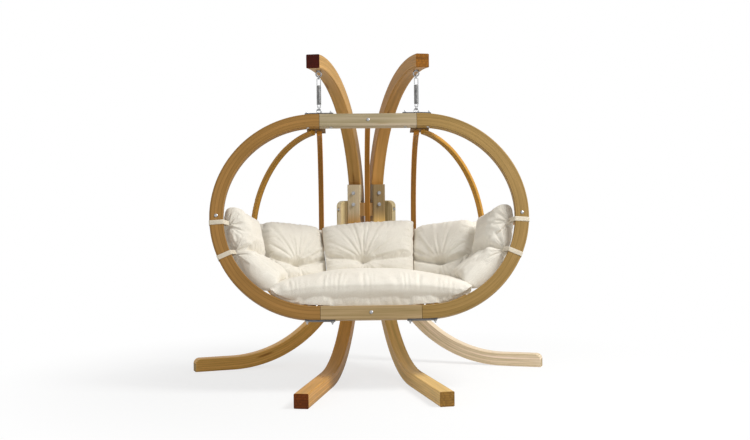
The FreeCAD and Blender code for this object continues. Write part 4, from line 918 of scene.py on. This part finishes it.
def shape_side(skin, side):
    """A side cushion: a boxed pad, bent along the inside of the ring, with its back end turned inwards."""
    u, v, w = skin.T
    depth = SIDE_FRONT + SIDE_HALF_DEEP + u * SIDE_HALF * (1 - 0.020 * (1 - v ** 2))
    span = SIDE_SPAN + (SIDE_LOW - SIDE_LOW_LEAN * u - SIDE_LOW_LEAN * w) * smooth_step(-v, 0.0, 1.0)
    angle = SIDE_ANGLE + span * v * (1 - 0.015 * (1 - u ** 2))
    out = SIDE_THICK * w * (edge_profile(u, 10, 0.55) * edge_profile(v, 8, 0.42))
    sewn_angle = -23.5 - 3.5 * (u + 1)
    off = np.radians(np.abs(angle - sewn_angle)) * SEWN_RADIUS
    face = np.clip(smooth_step(w, -0.2, 0.8) + 0.8 * smooth_step(-u, 0.86, 1.0), 0, 1)
    out = out + face * groove(off, SIDE_CREASE_WIDTH, SIDE_CREASE) * (1 - 0.25 * smooth_step(u, -1.0, 1.0))
    depth = depth + 0.014 * smooth_step(-u, 0.80, 1.0) * np.exp(-(off / 0.020) ** 2)
    low = smooth_step(-22.0 - angle, 0.0, 9.0) * smooth_step(angle + 58.0, 0.0, 8.0)
    folds = ripple((depth + 0.10 * np.radians(angle + 24.0)) * 95.0, 2.0 + side)
    out = out + 0.0075 * folds * low * smooth_step(w, -0.3, 0.7)
    for level in STRAP_LEVELS:
        rise = np.radians(angle - level) * PULL_RADIUS
        run = np.maximum(out + 0.021, 0.0) + depth - 0.030
        reach = np.hypot(rise, run)
        pleat = np.exp(-reach / 0.125) * reach / (reach + 0.014) * ripple(7.5 * np.arctan2(rise, run), level + side)
        out = out + STRAP_PULL * pleat * smooth_step(w, -0.4, 0.7)
        depth = depth + STRAP_GATHER * pleat * smooth_step(-u, 0.75, 1.0)
    radius = SIDE_RADIUS - SIDE_TURN_IN * u - out
    turn = np.radians(angle)
    points = np.stack((side * (RING_CENTRE + radius * np.cos(turn)), depth, radius * np.sin(turn)), axis=1)
    held = np.where((off < 0.005) & ((w > 0.9) | (u < -0.97)), 1.0, 0.0)
    return side_limit(points, side), held, lambda moved: side_limit(moved, side)


# %% The seat before stuffing
SEAT_HALF, SEAT_CORNER, SEAT_TIP, SEAT_TIP_LONG = 0.564, 0.012, 0.578, 0.100
SEAT_MIDDLE, SEAT_HALF_DEEP, SEAT_CROWN = 0.250, 0.246, 0.024
SEAT_FLOOR, SEAT_FLOOR_ROUND, SEAT_FLOOR_RISE, SEAT_THINNEST = -0.160, 0.160, 0.050, 0.014
FRONT_FOOT, FRONT_LIP, LIP_FOLDS, TIP_GATHERS = 0.037, 0.025, 0.0082, 0.0065
INSIDE_RING, RING_ZONE = 0.5035, 0.032


def seat_limit(moved):
    """The seat stays inside the hoops and the ring, and flat under the back cushions."""
    moved = inside_hoops(moved)
    height = (moved - SEAT_FRONT) @ SEAT_UP
    under = smooth_step((moved - SEAT_FRONT) @ SEAT_BACKWARD, 0.20, 0.27)
    moved = moved - (np.maximum(height, 0.0) * under)[:, None] * SEAT_UP
    far = np.maximum(np.abs(moved[:, 0]) - RING_CENTRE, 0.0)
    reach = np.hypot(far, moved[:, 2])
    in_ring = (np.abs(moved[:, 1]) < RING_ZONE) & (reach > INSIDE_RING)
    shrink = np.where(in_ring, INSIDE_RING / np.maximum(reach, 1e-6), 1.0)
    beyond = np.abs(moved[:, 0]) > RING_CENTRE
    moved[:, 0] = np.where(beyond, np.sign(moved[:, 0]) * (RING_CENTRE + far * shrink), moved[:, 0])
    moved[:, 2] *= shrink
    return moved


def shape_seat(skin):
    """The seat: a long boxed pad with a soft front lip, crowned where it is free, drawn to a point at its ends."""
    u, v, w = skin.T
    corner = smooth_step(np.abs(u), 0.93, 1.0)
    x = u * (SEAT_HALF + SEAT_CORNER * corner * (1 - np.abs(w)))
    back = SEAT_MIDDLE + v * SEAT_HALF_DEEP
    tip = np.clip((SEAT_TIP - np.abs(x)) / SEAT_TIP_LONG, 0, 1)
    crown = SEAT_CROWN * np.sin(math.pi * np.clip((back - 0.04) / 0.25, 0, 1))
    top = crown * (1 - smooth_step(np.abs(x), 0.05, 0.50)) - seat_drop(x, back)
    rising = SEAT_FLOOR_RISE * quarter_round((SEAT_TIP - np.abs(x)) / SEAT_FLOOR_ROUND)
    bottom = np.minimum(SEAT_FLOOR + rising, top - SEAT_THINNEST)
    level = bottom + (top - bottom) * (w + 1) / 2
    front = smooth_step(-v, 0.78, 1.0)
    forward = front * (FRONT_FOOT + FRONT_LIP * smooth_step(w, -0.9, 0.6))
    reach = 0.044 + 0.016 * ripple(x * 29.0, 0.7)
    lips = np.exp(-((back - 0.030) / reach) ** 2) * smooth_step(w, 0.35, 0.95)
    lean = 45.0 * (back - 0.03) * np.sin(x * 11.0 + 0.6)
    folds = LIP_FOLDS * ripple(x * 140.0 + 4.0 * np.sin(x * 31.0) + lean, 1.3)
    folds = folds * lips * (0.55 + 0.45 * ripple(x * 17.0, 4.0))
    fan = ripple(np.arctan2(level + 0.09, 0.60 - np.abs(x)) * 15.0, 2.2)
    gathers = TIP_GATHERS * fan * np.exp(-((1 - tip) - 0.70) ** 2 / 0.10)
    place = SEAT_FRONT + (back - forward)[:, None] * SEAT_BACKWARD + level[:, None] * SEAT_UP
    place[:, 0] = x
    place += (folds + gathers * smooth_step(w, 0.3, 0.9))[:, None] * (SEAT_UP * 0.8 - SEAT_BACKWARD * 0.5)
    place += (gathers * front * 0.7)[:, None] * -SEAT_BACKWARD
    held = np.where((w < -0.9) | (back > 0.42), 1.0, 0.0)
    return seat_limit(place), held, seat_limit


# %% Sew the skins
CHAIR_TURN = np.array(CHAIR.to_3x3())
CHAIR_HEART = np.array(CHAIR.to_translation())


def to_room(points):
    """From the chair's frame to the room."""
    return points @ CHAIR_TURN.T + CHAIR_HEART


def to_chair(points):
    """From the room to the chair's frame."""
    return (points - CHAIR_HEART) @ CHAIR_TURN


SQUARE, SEAT_SQUARE = 0.0062, 0.0078
cushions = {}


def sew(node, size, shape, square=SQUARE, mirrored=False):
    """Makes one cushion's skin, ready for stuffing, in place of a plain CAD cushion."""
    skin, squares = box_skin([round(length / square) for length in size])
    if mirrored:
        squares = [corners[::-1] for corners in squares]
    points, held, limit = shape(skin)
    piece = new_piece("stuffed_" + node, to_room(points), squares)
    pins = piece.vertex_groups.new(name="held")
    pins.add([int(index) for index in np.flatnonzero(held > 0)], 1.0, "REPLACE")
    cushions[node] = (piece, limit)
    print(piece.name, len(piece.data.vertices), "points")


sew("middle_back_cushion", (0.52, 0.35, 0.15), shape_middle)
for word, side in SIDES.items():
    sew(word + "_back_cushion", (0.31, 0.35, 0.15), lambda skin: shape_corner(skin, side))
    sew(word + "_side_cushion", (0.25, 0.46, 0.12), lambda skin: shape_side(skin, side), mirrored=side > 0)
sew("seat_cushion", (1.08, 0.50, 0.14), shape_seat, square=SEAT_SQUARE)

# %% [markdown]
# The stuffing itself: the cloth is cut a little too large, so it wrinkles where it is held, and air pressure
# stands in for the filling. All six are blown up in one run of twenty frames, then the result is kept as
# plain mesh and the simulation is taken away.

# %% Blow up the cushions
CAP, LAST_FRAME, GROWTH, SEAT_GROWTH = 0.024, 20, 0.035, 0.010
CLOTH = {"quality": 4, "mass": 0.2, "tension_stiffness": 14, "compression_stiffness": 14, "shear_stiffness": 5,
         "bending_stiffness": 0.2, "use_pressure": True, "uniform_pressure_force": 3.2, "vertex_group_mass": "held"}


def places(mesh):
    """The points of a mesh as rows of an array."""
    flat = np.empty(len(mesh.vertices) * 3)
    mesh.vertices.foreach_get("co", flat)
    return flat.reshape(-1, 3)


for node, (piece, _) in cushions.items():
    stuffing = piece.modifiers.new("stuffing", "CLOTH")
    for key, value in CLOTH.items():
        setattr(stuffing.settings, key, value)
    stuffing.settings.shrink_min = -(SEAT_GROWTH if node == "seat_cushion" else GROWTH)
    stuffing.settings.effector_weights.gravity = 0
    stuffing.collision_settings.use_collision = False
    stuffing.point_cache.frame_end = LAST_FRAME
for moment in range(1, LAST_FRAME + 1):
    scene.frame_set(moment)
depsgraph = bpy.context.evaluated_depsgraph_get()
for piece, limit in cushions.values():
    before, after = places(piece.data), places(piece.evaluated_get(depsgraph).to_mesh())
    step = after - before
    length = np.linalg.norm(step, axis=1)
    step *= np.minimum(1.0, CAP / np.maximum(length, 1e-9))[:, None]
    final = to_room(limit(to_chair(before + step)))
    piece.evaluated_get(depsgraph).to_mesh_clear()
    piece.modifiers.clear()
    piece.data.vertices.foreach_set("co", final.ravel())
    piece.data.update()
    most, mean = (round(float(value) * 1000, 1) for value in (length.max(), length.mean()))
    print(piece.name, "moved up to", most, "mm, mean", mean)
scene.frame_set(1)

# %% Cover the cushions
for node, (piece, _) in cushions.items():
    finer = piece.modifiers.new("finer", "SUBSURF")
    finer.levels = finer.render_levels = 1
    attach(piece, "chair")
    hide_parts(node)
    piece.data.materials.append(cotton)
print("covered", len(cushions), "cushions")

# %% [markdown]
# ## Straps
# Two cotton bands on each side tie the side cushion to the ring. Each goes once round the square wood and back
# to the cushion's edge, so it is a closed band: a line round the ring's section, widened along the ring and
# given the thickness of webbing.

# %% A band round the ring
STRAP_LINE = [(0.476, 0.0268), (0.5032, -0.0238), (0.5818, -0.0238), (0.5818, 0.0238), (0.5032, 0.0238)]
STRAP_WIDTH, STRAP_THICK, STRAP_CORNER = 0.025, 0.0014, 0.006
STRAP_FACE = [(-1, -0.4), (-0.96, -1), (-0.5, -1), (0, -1), (0.5, -1), (0.96, -1), (1, -0.4)]
STRAP_SECTION = STRAP_FACE + [(-across, -lift) for across, lift in STRAP_FACE]


def rounded_loop(corners, radius, steps=6):
    """A closed line through corners, each one rounded."""
    loop = []
    for index, corner in enumerate(corners):
        here = np.array(corner)
        before, after = np.array(corners[index - 1]), np.array(corners[(index + 1) % len(corners)])
        first = here + (before - here) / np.linalg.norm(before - here) * radius
        last = here + (after - here) / np.linalg.norm(after - here) * radius
        for share in np.linspace(0, 1, steps):
            loop.append((1 - share) ** 2 * first + 2 * share * (1 - share) * here + share ** 2 * last)
    return np.array(loop)


def strap_piece(name, side, level):
    """A band round the ring at an angle above its waist."""
    loop = rounded_loop(STRAP_LINE, STRAP_CORNER)
    away = np.roll(loop, -1, axis=0) - np.roll(loop, 1, axis=0)
    away = np.stack((-away[:, 1], away[:, 0]), axis=1) / np.linalg.norm(away, axis=1)[:, None]
    section = [(across, STRAP_THICK / 2 * lift) for across, lift in STRAP_SECTION]
    angle = math.radians(level)
    outward = np.array((side * math.cos(angle), 0.0, math.sin(angle)))
    along = np.array((-side * math.sin(angle), 0.0, math.cos(angle)))
    centre = np.array((side * RING_CENTRE, 0.0, 0.0))
    points = []
    for (radius, y), (out, back) in zip(loop, away):
        for across, lift in section:
            points.append(centre + outward * (radius + out * lift) + np.array((0, y + back * lift, 0))
                          + along * across * STRAP_WIDTH / 2)
    squares = tube_squares(len(loop), len(section), True)
    piece = new_piece(name, to_room(np.array(points)), squares)
    length = float(np.linalg.norm(np.roll(loop, -1, axis=0) - loop, axis=1).sum())
    return piece, length


# %% Cloth straps
for word, side in SIDES.items():
    for place, level in zip(("upper", "lower"), STRAP_LEVELS):
        strap, length = strap_piece(f"{word}_{place}_strap", side, level)
        strap.data.materials.append(strap_cotton)
        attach(strap, "chair")
        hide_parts(word + "_straps")
        print(strap.name, "cut to", round(length * 1000), "mm")
